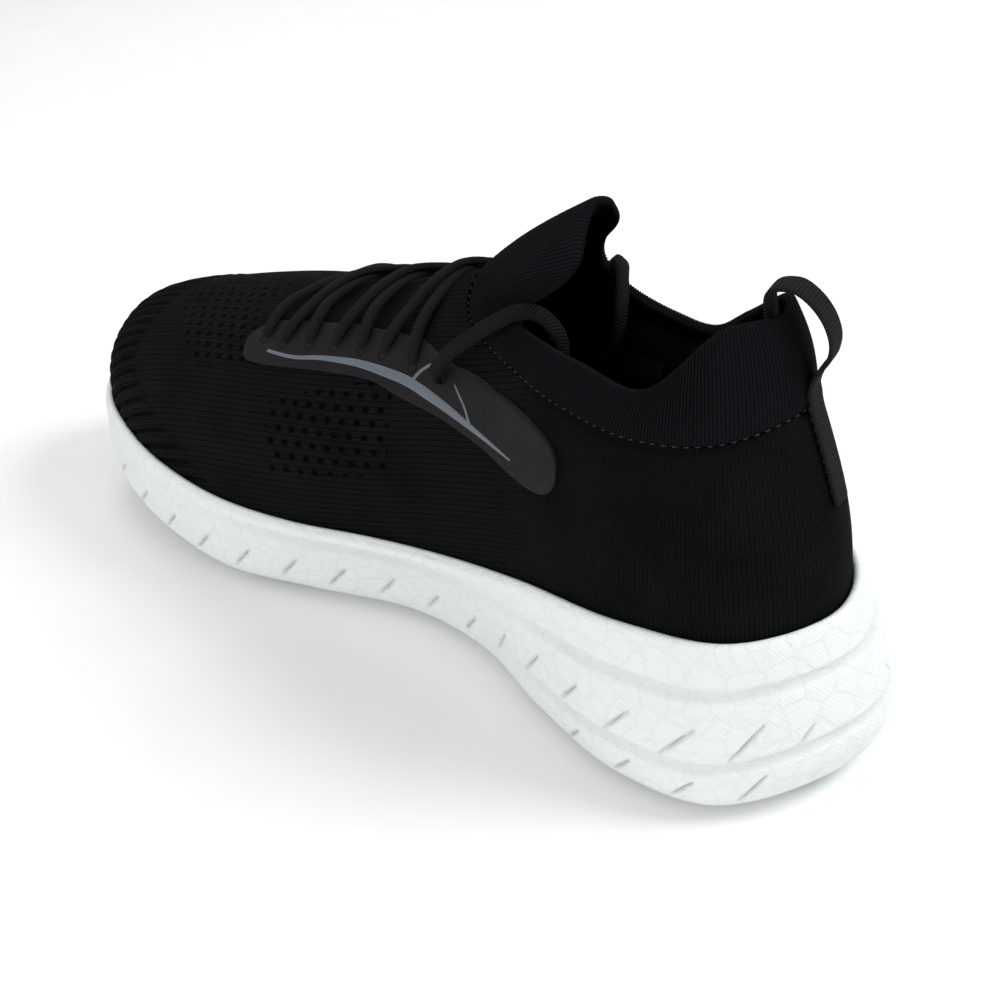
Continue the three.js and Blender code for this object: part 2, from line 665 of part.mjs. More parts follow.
function laceTail(side) {
  const section = new THREE.Shape();
  section.absarc(0, 0, LACE_DIAMETER / 2, 0, 2 * Math.PI);
  return new THREE.ExtrudeGeometry(section, {
    steps: TAIL_STEPS,
    curveSegments: CORD_SIDES / 2,
    extrudePath: tailCurve(side),
  });
}

function aglet(side) {
  const curve = tailCurve(side);
  const along = curve.getTangentAt(1);
  const radius = AGLET_DIAMETER / 2;
  const profile = [
    [0, 0], [radius, 0], [radius, AGLET_LENGTH - 1], [radius * 0.6, AGLET_LENGTH], [0, AGLET_LENGTH],
  ];
  const geometry = new THREE.LatheGeometry(profile.map(([x, y]) => new THREE.Vector2(x, y)), 10);
  geometry.applyQuaternion(new THREE.Quaternion().setFromUnitVectors(new THREE.Vector3(0, 1, 0), along));
  const start = curve.getPointAt(1).addScaledVector(along, GAP);
  return geometry.translate(start.x, start.y, start.z);
}

// ---------- pull loop ----------
// The tape is sewn down the back of the heel, stands off in a loop and ends inside the collar.
const LOOP_SHARE = 0.506;
const LOOP_SEWN_RISES = [0.6, 0.72, 0.86, 0.98, 1.12, 1.24];
// The tape turns down past the cuff with this much room, more on a narrower and rounder heel.
const LOOP_TURN = -(6.4 + CUFF_THICKNESS) / WIDE;
const LOOP_FREE = [
  [2, 108.8], [4.5, 112.6], [5.2, 117], [3.6, 122], [0.2, 126.2], [-4, 128.2], [LOOP_TURN, 126],
];
const LOOP_INSIDE_RISES = [1.8, 1.6];
const LOOP_INSIDE_ROOM = 2.8 / WIDE;    // the flat tape spans the hollow of the rounded cuff

function pullLoop() {
  const off = GAP + LOOP_THICKNESS / 2;
  const level = outward((share) => collarPoint(COLLAR_EDGE, share), LOOP_SHARE);
  const across = new THREE.Vector3().crossVectors(UP, level);
  const root = insideUpper(LOOP_SHARE, 1, 0).setZ(0);
  const flat = (point) => {
    const out = point.clone().sub(root).dot(level);
    return root.clone().addScaledVector(level, out).setZ(point.z);
  };
  const sewn = LOOP_SEWN_RISES.map((rise) => flat(insideUpper(LOOP_SHARE, rise, -off)));
  const free = LOOP_FREE.map(([out, height]) => {
    return root.clone().addScaledVector(level, out * LONG).setZ(height * TALL);
  });
  const inside = LOOP_INSIDE_RISES
    .map((rise) => flat(insideUpper(LOOP_SHARE, rise, CUFF_THICKNESS + off + LOOP_INSIDE_ROOM)));
  const path = [...sewn, ...free, ...inside];
  const half = across.clone().multiplyScalar(LOOP_WIDTH / 2);
  const rings = path.map((point, k) => {
    const ahead = path[Math.min(k + 1, path.length - 1)].clone().sub(path[Math.max(k - 1, 0)]);
    const out = new THREE.Vector3().crossVectors(ahead, across).setLength(LOOP_THICKNESS / 2);
    return [[1, 1], [1, -1], [-1, -1], [-1, 1]]
      .map(([face, side]) => point.clone().addScaledVector(out, face).addScaledVector(half, side));
  });
  return stackedRings(rings);
}

// ---------- finishes ----------
const finish = (color, roughness) => new THREE.MeshStandardMaterial({ color, roughness, metalness: 0 });
const BLACK_KNIT = finish(0x15181a, 0.95);
const BLACK_RIB = finish(0x191b1e, 0.95);
const CHARCOAL_FILM = finish(0x2b292c, 0.55);
const BLUE_GREY = finish(0x6d7782, 0.4);
const LACE_BROWN = finish(0x2a2725, 0.9);
const WHITE_FOAM = finish(0xeeefec, 0.6);
const BLACK_RUBBER = finish(0x1c1c1c, 0.7);
const CLEAR_RUBBER = finish(0xc9dccd, 0.35);
const BLACK_LINING = finish(0x101113, 0.9);
const GREY_BOARD = finish(0x8d8b84, 0.9);
const STIFF_PLASTIC = finish(0x3a3c3e, 0.5);
const AGLET_PLASTIC = finish(0x202020, 0.3);

// ---------- assembly ----------
const shoe = new THREE.Group();

function add(name, geometry, material) {
  const mesh = new THREE.Mesh(geometry, material);
  mesh.name = name;
  shoe.add(mesh);
}

const cuffStart = (share) => 1 + SEAM_GAP / insideUpper(share, 1, 0).distanceTo(insideUpper(share, 2, 0));
const knitEnd = (share) => 1 - GAP / insideUpper(share, 0, 0).distanceTo(insideUpper(share, 1, 0));

const holes = eyeletPunches();
const wholeKnit = upperPatch({
  shares: [0, 1], rises: [0, knitEnd], from: 0, to: KNIT_THICKNESS, columns: AROUND, rows: 9,
});
const foam = midsole();
add('midsole', foam, WHITE_FOAM);
for (const [name, outline] of Object.entries(POD_OUTLINES)) {
  add(name, solePod(outline, foam), name === 'heel_lug' ? CLEAR_RUBBER : BLACK_RUBBER);
}
add('midfoot_shank', solePod(SHANK_OUTLINE, foam), STIFF_PLASTIC);
add('strobel_board', innerPlate(BOARD_INSET, BOARD_BOTTOM, BOARD_THICKNESS), GREY_BOARD);
add('sockliner', innerPlate(SOCKLINER_INSET, BOARD_TOP + GAP, SOCKLINER_THICKNESS), BLACK_LINING);
add('knit_upper', cut(wholeKnit, holes), BLACK_KNIT);
add('collar_cuff', upperPatch({
  shares: [0, 1], rises: [cuffStart, 2], from: 0, to: CUFF_THICKNESS, columns: AROUND, rows: 4,
}), BLACK_RIB);
add('toe_puff', upperPatch({
  shares: [-0.11, 0.11], rises: [aboveBoard, 0.36], from: PUFF_DEPTH, to: PUFF_DEPTH + PUFF_THICKNESS,
  columns: 14, rows: 3,
}), STIFF_PLASTIC);
add('heel_counter', upperPatch({
  shares: HEEL_SHARES, rises: [aboveBoard, COUNTER_TOP], from: COUNTER_DEPTH,
  to: COUNTER_DEPTH + COUNTER_THICKNESS, columns: 16, rows: 4,
}), STIFF_PLASTIC);
add('heel_lining', upperPatch({
  shares: LINING_SHARES, rises: [aboveBoard, LINING_TOP], from: liningDepth,
  to: (share, part) => liningDepth(share, part) + LINING_THICKNESS, columns: 24, rows: 7,
}), BLACK_LINING);
for (const [side, shares] of Object.entries(FOAM_SHARES)) {
  add(`collar_foam_${side}`, upperPatch({
    shares, rises: FOAM_RISES, from: FOAM_DEPTH, to: FOAM_DEPTH + FOAM_THICKNESS, columns: 8, rows: 3,
  }), GREY_BOARD);
}
for (const [name, side] of Object.entries(SIDES)) {
  const film = layOnUpper(side, FILM_LOW, FILM_TOP, -FILM_GAP, -FILM_GAP - FILM_THICKNESS, 18, 3);
  add(`eyelet_film_${name}`, cut(film, holes), CHARCOAL_FILM);
  const [low, high] = stripeEdges();
  const base = -2 * FILM_GAP - FILM_THICKNESS;
  const stripe = layOnUpper(side, low, high, base, base - STRIPE_THICKNESS, 14, 1);
  add(`reflective_stripe_${name}`, stripe, BLUE_GREY);
  add(`lace_tail_${name}`, laceTail(name), LACE_BROWN);
  add(`aglet_${name}`, aglet(name), AGLET_PLASTIC);
}
add('lace', heldLace(), LACE_BROWN);
add('pull_loop', pullLoop(), LACE_BROWN);
add('size_label', upperPatch({
  shares: LABEL_SHARES, rises: LABEL_RISES, from: LABEL_DEPTH, to: LABEL_DEPTH + LABEL_THICKNESS,
  columns: 4, rows: 3,
}), BLUE_GREY);

// The frame's origin is under the middle of the shoe, on the floor.
const bounds = new THREE.Box3().setFromObject(shoe);
const middle = bounds.getCenter(new THREE.Vector3());
shoe.position.set(-middle.x, -middle.y, -bounds.min.z);

export default shoe;
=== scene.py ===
# %% [markdown]
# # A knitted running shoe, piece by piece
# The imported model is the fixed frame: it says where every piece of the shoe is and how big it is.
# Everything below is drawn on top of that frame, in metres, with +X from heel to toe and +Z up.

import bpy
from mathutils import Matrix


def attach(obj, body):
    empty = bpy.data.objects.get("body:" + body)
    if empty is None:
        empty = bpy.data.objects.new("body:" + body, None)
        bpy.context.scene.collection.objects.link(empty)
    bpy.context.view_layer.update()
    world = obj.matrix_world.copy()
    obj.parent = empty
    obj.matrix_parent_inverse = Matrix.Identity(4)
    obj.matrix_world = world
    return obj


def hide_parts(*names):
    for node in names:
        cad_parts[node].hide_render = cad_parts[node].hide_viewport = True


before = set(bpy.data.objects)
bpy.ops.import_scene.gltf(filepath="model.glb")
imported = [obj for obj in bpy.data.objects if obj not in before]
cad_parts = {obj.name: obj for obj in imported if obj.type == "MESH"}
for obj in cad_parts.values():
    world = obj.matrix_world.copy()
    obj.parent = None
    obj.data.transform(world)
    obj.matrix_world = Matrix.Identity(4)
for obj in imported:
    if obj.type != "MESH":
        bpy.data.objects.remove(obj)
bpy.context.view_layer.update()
print("pieces in the frame:", len(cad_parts))

# %% Tools used throughout
import math

import bpy
import numpy as np
from mathutils import Matrix, Vector

# %% [markdown]
# ## The camera
# A shoe seen from above and behind shows its collar, its side and its sole at once. The camera is
# placed by two angles round the shoe, a distance and a small roll, because a camera in the hand is
# rarely quite level. Building its axes from these keeps all four values readable.

# %% Camera behind the inner side of the shoe
CAMERA_TARGET = Vector((-0.0953, 0.0628, 0.0932))
CAMERA_DISTANCE = 0.3618
CAMERA_ROUND, CAMERA_UP, CAMERA_ROLL = (math.radians(a) for a in (229.33, 32.33, -7.569))
LENS = 60.75

back = Vector((math.sin(CAMERA_ROUND) * math.cos(CAMERA_UP),
               -math.cos(CAMERA_ROUND) * math.cos(CAMERA_UP), math.sin(CAMERA_UP)))
level_right = (-back).cross(Vector((0, 0, 1))).normalized()
level_up = level_right.cross(-back)
right = level_right * math.cos(CAMERA_ROLL) + level_up * math.sin(CAMERA_ROLL)
up = level_up * math.cos(CAMERA_ROLL) - level_right * math.sin(CAMERA_ROLL)
camera = bpy.data.objects.new("camera", bpy.data.cameras.new("camera"))
bpy.context.scene.collection.objects.link(camera)
camera.data.lens = LENS
camera.data.clip_start = 0.01
camera.matrix_world = Matrix.Translation(CAMERA_TARGET + back * CAMERA_DISTANCE) @ Matrix(
    (right, up, back)).transposed().to_4x4()
bpy.context.scene.camera = camera
print("camera stands at", [round(v, 3) for v in camera.matrix_world.translation])

# %% [markdown]
# ## The lines of the last
# A shoe is designed on a last, a solid foot shape. Four closed lines are enough to describe this one:
# the rim of the sole, the foot of the upper, the collar seam and the top edge of the collar. They are
# in millimetres from the back of the heel, they start at the toe, and they run round the inner side
# first. The same lines drive the fixed frame, so the detailed pieces land exactly on it.

# %% Closed lines from toe, round the inner side and heel, and back
SOLE_RIM = [
    [299.5, 5], [293, 22], [278, 34.5], [255, 43.5], [228, 47.3], [200, 46.5], [172, 38],
    [140, 27.5], [110, 28], [80, 37], [48, 42.8], [19, 35.5], [0, 4],
    [17, -28], [45, -37.5], [80, -39], [110, -39.5], [140, -41.5], [172, -47], [200, -50.7],
    [228, -50.5], [255, -43], [278, -28], [293, -11]]
UPPER_FOOT = [
    [293.3, 5], [288, 18.5], [275.5, 30.8], [253.5, 39.2], [229, 44.2], [200, 45.6], [172, 42],
    [140, 34.8], [110, 32.6], [80, 34], [50, 34.6], [22, 27.3], [9, 6],
    [21, -16.5], [47, -28.5], [80, -32], [110, -34.5], [140, -38], [172, -43.5], [200, -47],
    [228, -46.5], [254, -38.5], [275, -24.5], [288, -8.5]]
COLLAR_SEAM = [
    [120, 0, 107], [119.6, 3, 106.6], [118.6, 6.2, 105.6], [117, 9.2, 104.3], [114.5, 12.4, 103],
    [110.5, 16, 102], [104, 19.6, 101], [95, 23.2, 100], [83, 27, 99], [67, 31, 98],
    [44, 32, 97], [25, 23.5, 97.5], [16.5, 4, 100],
    [29, -15, 97], [46, -24, 92], [66, -26.5, 89.5], [83, -25.5, 91], [95, -22.5, 95],
    [104, -19.6, 98.5], [110.5, -16, 101], [114.5, -12.4, 102.6], [117, -9.2, 104],
    [118.6, -6.2, 105.4], [119.6, -3, 106.5]]
COLLAR_EDGE = [
    [79, 0, 134.5], [77.5, 5, 133.4], [75, 10, 130.5], [73.5, 14, 125.5], [77, 15.5, 119.5],
    [84, 15.8, 113.5], [92, 15.5, 109], [90, 18.5, 107.3], [80, 22.5, 107.5], [63, 27, 108.5],
    [42, 28.5, 108.5], [26.5, 21, 123], [21.5, 4, 121.8],
    [30, -8, 120], [47, -14.5, 108], [60, -18, 99], [74, -20, 98], [86, -21, 99.5],
    [92.5, -20, 103.5], [94.5, -18, 109.5], [91, -15.5, 116.5], [84, -13, 124],
    [80.5, -8, 130.5], [78.8, -4, 133.6]]
LIP_HEIGHT = [[-2, 52], [20, 49], [45, 48], [80, 45], [110, 39.5], [140, 35], [172, 32.5],
              [205, 31.8], [240, 32.5], [278, 34.8], [301, 39]]
CUP_DEPTH = 8.0
FOOT_GAP = 0.8
SOLE_LIFT = 2.8
SHOE_SHIFT = np.array([-149.75, 0.889, 0.0])


def in_frame(points):
    return (np.asarray(points, float) + SHOE_SHIFT) * 0.001


# %% Smooth curves through stations
def blend(first, second, part):
    return first + (second - first) * part


def smooth(value, low, high):
    part = np.clip((value - low) / (high - low), 0, 1)
    return part * part * (3 - 2 * part)


def through(before, here, after, beyond, part):
    return 0.5 * (2 * here + (after - before) * part
                  + (2 * before - 5 * here + 4 * after - beyond) * part ** 2
                  + (3 * here - before - 3 * after + beyond) * part ** 3)


def closed_line(stations, share):
    table = np.array(stations, float)
    spot = (np.asarray(share, float) % 1.0) * len(table)
    start = np.floor(spot).astype(int)
    corners = [table[(start + k) % len(table)] for k in (-1, 0, 1, 2)]
    return through(*corners, (spot - start)[..., None])


def open_line(stations, share):
    table = np.array(stations, float)
    spot = np.clip(share, 0, 1) * (len(table) - 1)
    start = np.minimum(np.floor(spot).astype(int), len(table) - 2)
    corners = [table[np.clip(start + k, 0, len(table) - 1)] for k in (-1, 0, 1, 2)]
    return through(*corners, (spot - start)[..., None])


def height_along(table, x):
    keys, values = np.array(table, float).T
    after = np.clip(np.searchsorted(keys, x, side="right"), 1, len(keys) - 1)
    part = np.clip((x - keys[after - 1]) / (keys[after] - keys[after - 1]), 0, 1)
    corners = [values[np.clip(after + k, 0, len(keys) - 1)] for k in (-2, -1, 0, 1)]
    return through(*corners, part)


def lengths_along(points):
    steps = np.linalg.norm(np.diff(points, axis=0), axis=-1)
    return np.concatenate([np.zeros((1,) + steps.shape[1:]), np.cumsum(steps, axis=0)])


# %% [markdown]
# ## The surface of the upper
# Any point of the upper is named by two numbers: its share of the way round, and its rise, which is 0
# where the knit leaves the sole, 1 at the collar seam and 2 at the top edge. The section between foot
# and seam is a curve that is full over the toes and steep at the heel. With this one function every
# sheet, lace and stitch can be laid on the foot at a chosen depth.

# %% Surface from share and rise
VAMP_SECTION = np.array([[-0.03, 0.42], [0.58, 0.5]])
WALL_SECTION = np.array([[0.02, 0.55], [0.33, 0.67]])
VAMP_BULGE, HEEL_BULGE = 1.2, 1.6


def floor_height(x):
    spring = np.maximum(0, (x - 195) / 104)
    bevel = np.maximum(0, (25 - x) / 25)
    return 17 * spring ** 2 + 7 * bevel ** 2


def lip_height(x):
    return height_along(LIP_HEIGHT, x)


def plan(stations, share):
    line = closed_line(stations, share)
    return np.concatenate([line, np.zeros_like(line[..., :1])], axis=-1)


def foot_point(share):
    point = plan(UPPER_FOOT, share)
    point[..., 2] = lip_height(point[..., 0]) - CUP_DEPTH + FOOT_GAP
    return point


def outward(line, share):
    step = 0.25 / len(SOLE_RIM)
    along = line(share + step) - line(share - step)
    out = np.stack([along[..., 1], -along[..., 0], np.zeros_like(along[..., 0])], axis=-1)
    return out / np.linalg.norm(out, axis=-1, keepdims=True)


def upper_point(share, rise):
    share, rise = np.broadcast_arrays(np.asarray(share, float), np.asarray(rise, float))
    seam, edge, foot = closed_line(COLLAR_SEAM, share), closed_line(COLLAR_EDGE, share), foot_point(share)
    from_toe = np.minimum(share % 1, 1 - share % 1) * 2
    wall = smooth(from_toe, 0.1, 0.75)
    section = blend(VAMP_SECTION, WALL_SECTION, wall[..., None, None])
    low = np.minimum(rise, 1)
    across, high = (3 * low * (1 - low) ** 2 * section[..., k, 0]
                    + 3 * low ** 2 * (1 - low) * section[..., k, 1] + low ** 3 for k in (0, 1))
    knit = blend(foot, seam, across[..., None])
    knit[..., 2] = blend(foot[..., 2], seam[..., 2], high)
    bulge = blend(VAMP_BULGE, HEEL_BULGE, wall) * np.sin(np.pi * low)
    knit = knit + outward(foot_point, share) * bulge[..., None]
    above = np.maximum(rise - 1, 0)[..., None]
    bow = np.sin(np.pi * above) * 0.05 * np.linalg.norm(edge - seam, axis=-1, keepdims=True)
    cuff = blend(seam, edge, above) + outward(lambda s: closed_line(COLLAR_SEAM, s), share) * bow
    return np.where(rise[..., None] > 1, cuff, knit)


def upper_normal(share, rise):
    low = np.maximum(np.asarray(rise, float) - 0.02, 0)
    along = upper_point(share + 0.004, rise) - upper_point(share - 0.004, rise)
    upward = upper_point(share, low + 0.04) - upper_point(share, low)
    normal = np.cross(along, upward)
    return normal / np.linalg.norm(normal, axis=-1, keepdims=True)


def on_upper(share, rise, stand_off):
    share, rise = np.broadcast_arrays(np.asarray(share, float), np.asarray(rise, float))
    return upper_point(share, rise) + upper_normal(share, rise) * np.asarray(stand_off, float)[..., None]


print("instep height at the seam:", round(float(upper_point(0.0, 1.0)[2]), 1), "mm")

# %% [markdown]
# ## Finding a place on the surface
# Eyelets and film are drawn in the side view, as a distance from the heel and a height, while the
# laces are drawn from above. The surface needs share and rise instead, so this step searches a coarse
# table of the surface for the nearest spot and then closes in on it with a few Newton steps.

# %% Search the surface by two of its coordinates
MEDIAL, LATERAL = 1, -1
LATERAL_DROP = 2.0
search_shares, search_rises = np.meshgrid(np.linspace(0.004, 0.496, 90), np.linspace(0.02, 0.98, 40))
search_points = {MEDIAL: upper_point(search_shares, search_rises),
                 LATERAL: upper_point(1 - search_shares, search_rises)}


def find_spot(side, axes, wanted):
    gap = np.linalg.norm(search_points[side][..., axes] - wanted, axis=-1)
    nearest = np.unravel_index(np.argmin(gap), gap.shape)
    share = search_shares[nearest] if side == MEDIAL else 1 - search_shares[nearest]
    spot = np.array([share, search_rises[nearest]])
    for _ in range(10):
        miss = upper_point(*spot)[axes] - wanted
        slope = np.stack([(upper_point(*(spot + d))[axes] - upper_point(*spot)[axes]) / 1e-4
                          for d in (np.array([1e-4, 0]), np.array([0, 1e-4]))], axis=1)
        if abs(np.linalg.det(slope)) < 1e-6:
            break
        spot = spot - np.clip(np.linalg.solve(slope, miss), [-0.02, -0.1], [0.02, 0.1])
    return spot


def side_spot(side, place):
    x, z = place
    return find_spot(side, [0, 2], np.array([x, z - (LATERAL_DROP if side == LATERAL else 0)]))


# %% [markdown]
# ## Turning grids of points into meshes
# Nearly every piece is a grid: rows of points that follow the piece, joined into quads. A grid may
# close on itself across a row, like a tube, or be open, like a cloth. Each grid carries its own
# millimetre coordinates as a UV map, so a weave can later be drawn at its true size.

# %% Grid mesh builder
def new_object(name, mesh, material):
    piece = bpy.data.objects.new(name, mesh)
    bpy.context.scene.collection.objects.link(piece)
    mesh.materials.append(material)
    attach(piece, "root")
    return piece


def grid_faces(rows, columns, wraps, first=0):
    row, column = np.meshgrid(np.arange(rows - 1), np.arange(columns if wraps else columns - 1),
                              indexing="ij")
    after = (column + 1) % columns
    quads = np.stack([row * columns + column, row * columns + after,
                      (row + 1) * columns + after, (row + 1) * columns + column], axis=-1)
    corner = np.stack([np.stack([row + a, column + b], axis=-1)
                       for a, b in ((0, 0), (0, 1), (1, 1), (1, 0))], axis=-2)
    return quads.reshape(-1, 4) + first, corner.reshape(-1, 2)


def build_piece(name, points, faces, material, uv=None, masks=None, smooth_angle=None):
    mesh = bpy.data.meshes.new(name)
    mesh.vertices.add(len(points))
    mesh.vertices.foreach_set("co", in_frame(points).astype(np.float32).ravel())
    sizes = np.array([len(face) for face in faces], dtype=np.int32)
    flat = np.concatenate([np.asarray(face, dtype=np.int32) for face in faces]) \
        if not isinstance(faces, np.ndarray) else faces.astype(np.int32).ravel()
    mesh.loops.add(len(flat))
    mesh.loops.foreach_set("vertex_index", flat)
    mesh.polygons.add(len(sizes))
    mesh.polygons.foreach_set("loop_start", np.concatenate([[0], np.cumsum(sizes)[:-1]]).astype(np.int32))
    for map_name, values in (uv or {}).items():
        layer = mesh.uv_layers.new(name=map_name)
        layer.data.foreach_set("uv", np.asarray(values, dtype=np.float32).ravel())
    for mask_name, values in (masks or {}).items():
        layer = mesh.attributes.new(mask_name, "FLOAT", "POINT")
        layer.data.foreach_set("value", np.asarray(values, dtype=np.float32).ravel())
    mesh.update(calc_edges=True)
    mesh.validate()
    mesh.polygons.foreach_set("use_smooth", np.ones(len(mesh.polygons), dtype=bool))
    if smooth_angle:
        mesh.set_sharp_from_angle(angle=math.radians(smooth_angle))
    piece = new_object(name, mesh, material)
    print(name, "faces:", len(mesh.polygons))
    return piece


def grid_piece(name, grid, material, wraps=False, mm=None, masks=None, flip=False, smooth_angle=None):
    rows, columns = grid.shape[:2]
    quads, corner = grid_faces(rows, columns, wraps)
    uv = {key: table[corner[:, 0], corner[:, 1]] for key, table in (mm or {}).items()}
    if flip:
        quads = quads[:, ::-1]
        uv = {key: value.reshape(-1, 4, 2)[:, ::-1].reshape(-1, 2) for key, value in uv.items()}
    return build_piece(name, grid.reshape(-1, 3), quads, material, uv, masks, smooth_angle)


# %% Flat cord swept along a path
OVAL_SIDES = 14


def sideways_of(path, facing):
    ahead = np.gradient(path, axis=0)
    ahead /= np.linalg.norm(ahead, axis=-1, keepdims=True)
    across = np.cross(facing, ahead)
    across /= np.linalg.norm(across, axis=-1, keepdims=True)
    return ahead, across, np.cross(ahead, across)


def flat_cord(name, path, facing, width, thickness, material, taper=None, power=0.75):
    ahead, across, face = sideways_of(path, facing)
    angle = np.linspace(0, 2 * np.pi, OVAL_SIDES, endpoint=False)
    wide = np.sign(np.cos(angle)) * np.abs(np.cos(angle)) ** power * width / 2
    high = np.sign(np.sin(angle)) * np.abs(np.sin(angle)) ** power * thickness / 2
    scale = np.ones(len(path)) if taper is None else taper
    rings = (path[:, None] + across[:, None] * (wide[None, :] * scale[:, None])[..., None]
             + face[:, None] * high[None, :, None])
    quads, corner = grid_faces(len(path), OVAL_SIDES, True)
    girth = np.linspace(0, 2 * (width + thickness) * 0.85, OVAL_SIDES + 1)
    table = np.stack(np.broadcast_arrays(girth[None, :], lengths_along(path)[:, None]), axis=-1)
    faces = [list(quad) for quad in quads]
    uv = list(table[corner[:, 0], corner[:, 1]])
    last = (len(path) - 1) * OVAL_SIDES
    faces += [list(range(OVAL_SIDES))[::-1], [last + k for k in range(OVAL_SIDES)]]
    uv += [table[0, k] for k in range(OVAL_SIDES)][::-1] + [table[-1, k] for k in range(OVAL_SIDES)]
    return build_piece(name, rings.reshape(-1, 3), faces, material, {"mm": uv})


def even_path(stations, count):
    rough = open_line(stations, np.linspace(0, 1, 600))
    length = lengths_along(rough)
    wanted = np.linspace(0, length[-1], count)
    return np.stack([np.interp(wanted, length, rough[:, k]) for k in range(rough.shape[1])], axis=-1)


# %% [markdown]
# ## Small helpers for materials
# A material is a graph of nodes. Two short helpers keep the graphs readable: one places a node and
# connects its inputs in a single call, the other does plain arithmetic. Effects that several finishes
# share are node groups, which take their sizes as inputs and put out only a height or a mask.

# %% Node helpers
def place_node(tree, kind, settings=None, **inputs):
    node = tree.nodes.new(kind)
    for key, value in (settings or {}).items():
        setattr(node, key, value)
    for key, value in inputs.items():
        socket = node.inputs[int(key[1:])] if key[0] == "i" and key[1:].isdigit() else node.inputs[key]
        if isinstance(value, bpy.types.NodeSocket):
            tree.links.new(value, socket)
        else:
            socket.default_value = value
    return node


def math_node(tree, operation, *values, clamp=False):
    inputs = {f"i{k}": value for k, value in enumerate(values)}
    settings = {"operation": operation, "use_clamp": clamp}
    return place_node(tree, "ShaderNodeMath", settings, **inputs).outputs[0]


def soft_step(tree, value, low, high, to_low=0.0, to_high=1.0):
    return place_node(tree, "ShaderNodeMapRange", {"interpolation_type": "SMOOTHSTEP"},
                      i0=value, i1=low, i2=high, i3=to_low, i4=to_high).outputs[0]


def shader_group(name, inputs, outputs):
    tree = bpy.data.node_groups.new(name, "ShaderNodeTree")
    for label, start in inputs:
        socket = tree.interface.new_socket(label, in_out="INPUT", socket_type="NodeSocketFloat")
        socket.default_value = start
    for label in outputs:
        tree.interface.new_socket(label, in_out="OUTPUT", socket_type="NodeSocketFloat")
    return tree, tree.nodes.new("NodeGroupInput").outputs, tree.nodes.new("NodeGroupOutput").inputs


def use_group(tree, group, **inputs):
    node = tree.nodes.new("ShaderNodeGroup")
    node.node_tree = group
    for key, value in inputs.items():
        socket = node.inputs[key.replace("_", " ")]
        if isinstance(value, bpy.types.NodeSocket):
            tree.links.new(value, socket)
        else:
            socket.default_value = value
    return node.outputs


def new_finish(name, color, roughness, **shader_values):
    material = bpy.data.materials.new(name)
    material.use_nodes = True
    tree = material.node_tree
    shader = tree.nodes["Principled BSDF"]
    shader.inputs["Base Color"].default_value = (*color, 1)
    shader.inputs["Roughness"].default_value = roughness
    for key, value in shader_values.items():
        shader.inputs[key.replace("_", " ")].default_value = value
    return material, tree, shader


def add_bump(tree, shader, height, depth_mm, strength=1.0, after=None):
    bump = place_node(tree, "ShaderNodeBump", Strength=strength, Distance=depth_mm * 0.001, Height=height)
    if after is not None:
        tree.links.new(after, bump.inputs["Normal"])
    tree.links.new(bump.outputs[0], shader.inputs["Normal"])
    return bump.outputs[0]


def shade_between(tree, shader, dark, light, mask):
    mix = place_node(tree, "ShaderNodeMix", {"data_type": "RGBA"}, Factor=mask)
    mix.inputs[6].default_value = (*dark, 1)
    mix.inputs[7].default_value = (*light, 1)
    tree.links.new(mix.outputs[2], shader.inputs["Base Color"])


def map_parts(tree, map_name):
    uv = place_node(tree, "ShaderNodeUVMap", {"uv_map": map_name})
    parts = place_node(tree, "ShaderNodeSeparateXYZ", Vector=uv.outputs[0])
    return parts.outputs[0], parts.outputs[1]


def mask_of(tree, name):
    return place_node(tree, "ShaderNodeAttribute", {"attribute_name": name}).outputs["Fac"]


# %% [markdown]
# ## Shared effects
# Four effects are used by more than one finish. Knit loops are rows of small V shapes. A braid is two
# sets of strands that cross at an angle. Ribs are plain rounded cords side by side. Fibre fuzz is
# uneven light grain, the stray ends that keep a black cloth from looking like paint.

# %% Knit loops
knit_loops, gi, go = shader_group(
    "knit_loops", [("Along", 0), ("Across", 0), ("Wale", 1.3), ("Course", 1.0)], ["Height", "Valley"])
wale = math_node(knit_loops, "DIVIDE", gi["Across"], gi["Wale"])
wale_part = math_node(knit_loops, "FRACT", wale)
from_middle = math_node(knit_loops, "ABSOLUTE", math_node(knit_loops, "SUBTRACT", wale_part, 0.5))
leg = math_node(knit_loops, "ABSOLUTE", math_node(knit_loops, "SUBTRACT", from_middle, 0.22))
slant = math_node(knit_loops, "MULTIPLY", from_middle, 1.5)
course = math_node(knit_loops, "FRACT", math_node(
    knit_loops, "ADD", math_node(knit_loops, "DIVIDE", gi["Along"], gi["Course"]), slant))
loop_round = math_node(knit_loops, "SINE", math_node(knit_loops, "MULTIPLY", course, math.pi))
leg_round = soft_step(knit_loops, leg, 0.02, 0.26, 1.0, 0.0)
knit_loops.links.new(math_node(knit_loops, "MULTIPLY", leg_round, math_node(
    knit_loops, "ADD", 0.45, math_node(knit_loops, "MULTIPLY", loop_round, 0.55))), go["Height"])
# The Valley mask marks the gaps between the loops; finishes paint shade there with it.
knit_loops.links.new(soft_step(knit_loops, from_middle, 0.36, 0.5), go["Valley"])

# %% Braid of crossing strands
braid, gi, go = shader_group("braid", [("Girth", 0), ("Length", 0), ("Strand", 0.8)], ["Height", "Gap"])
strands = []
for direction in (1, -1):
    slant = math_node(braid, "MULTIPLY", gi["Girth"], direction * 1.0)
    leaning = math_node(braid, "ADD", gi["Length"], slant)
    turn = math_node(braid, "MULTIPLY", math_node(braid, "DIVIDE", leaning, gi["Strand"]), math.pi)
    strands.append(math_node(braid, "ABSOLUTE", math_node(braid, "SINE", turn)))
together = math_node(braid, "MULTIPLY", strands[0], strands[1])
braid.links.new(together, go["Height"])
# The Gap mask marks the gaps between strands; finishes paint shade there with it.
braid.links.new(soft_step(braid, together, 0.05, 0.35, 1.0, 0.0), go["Gap"])

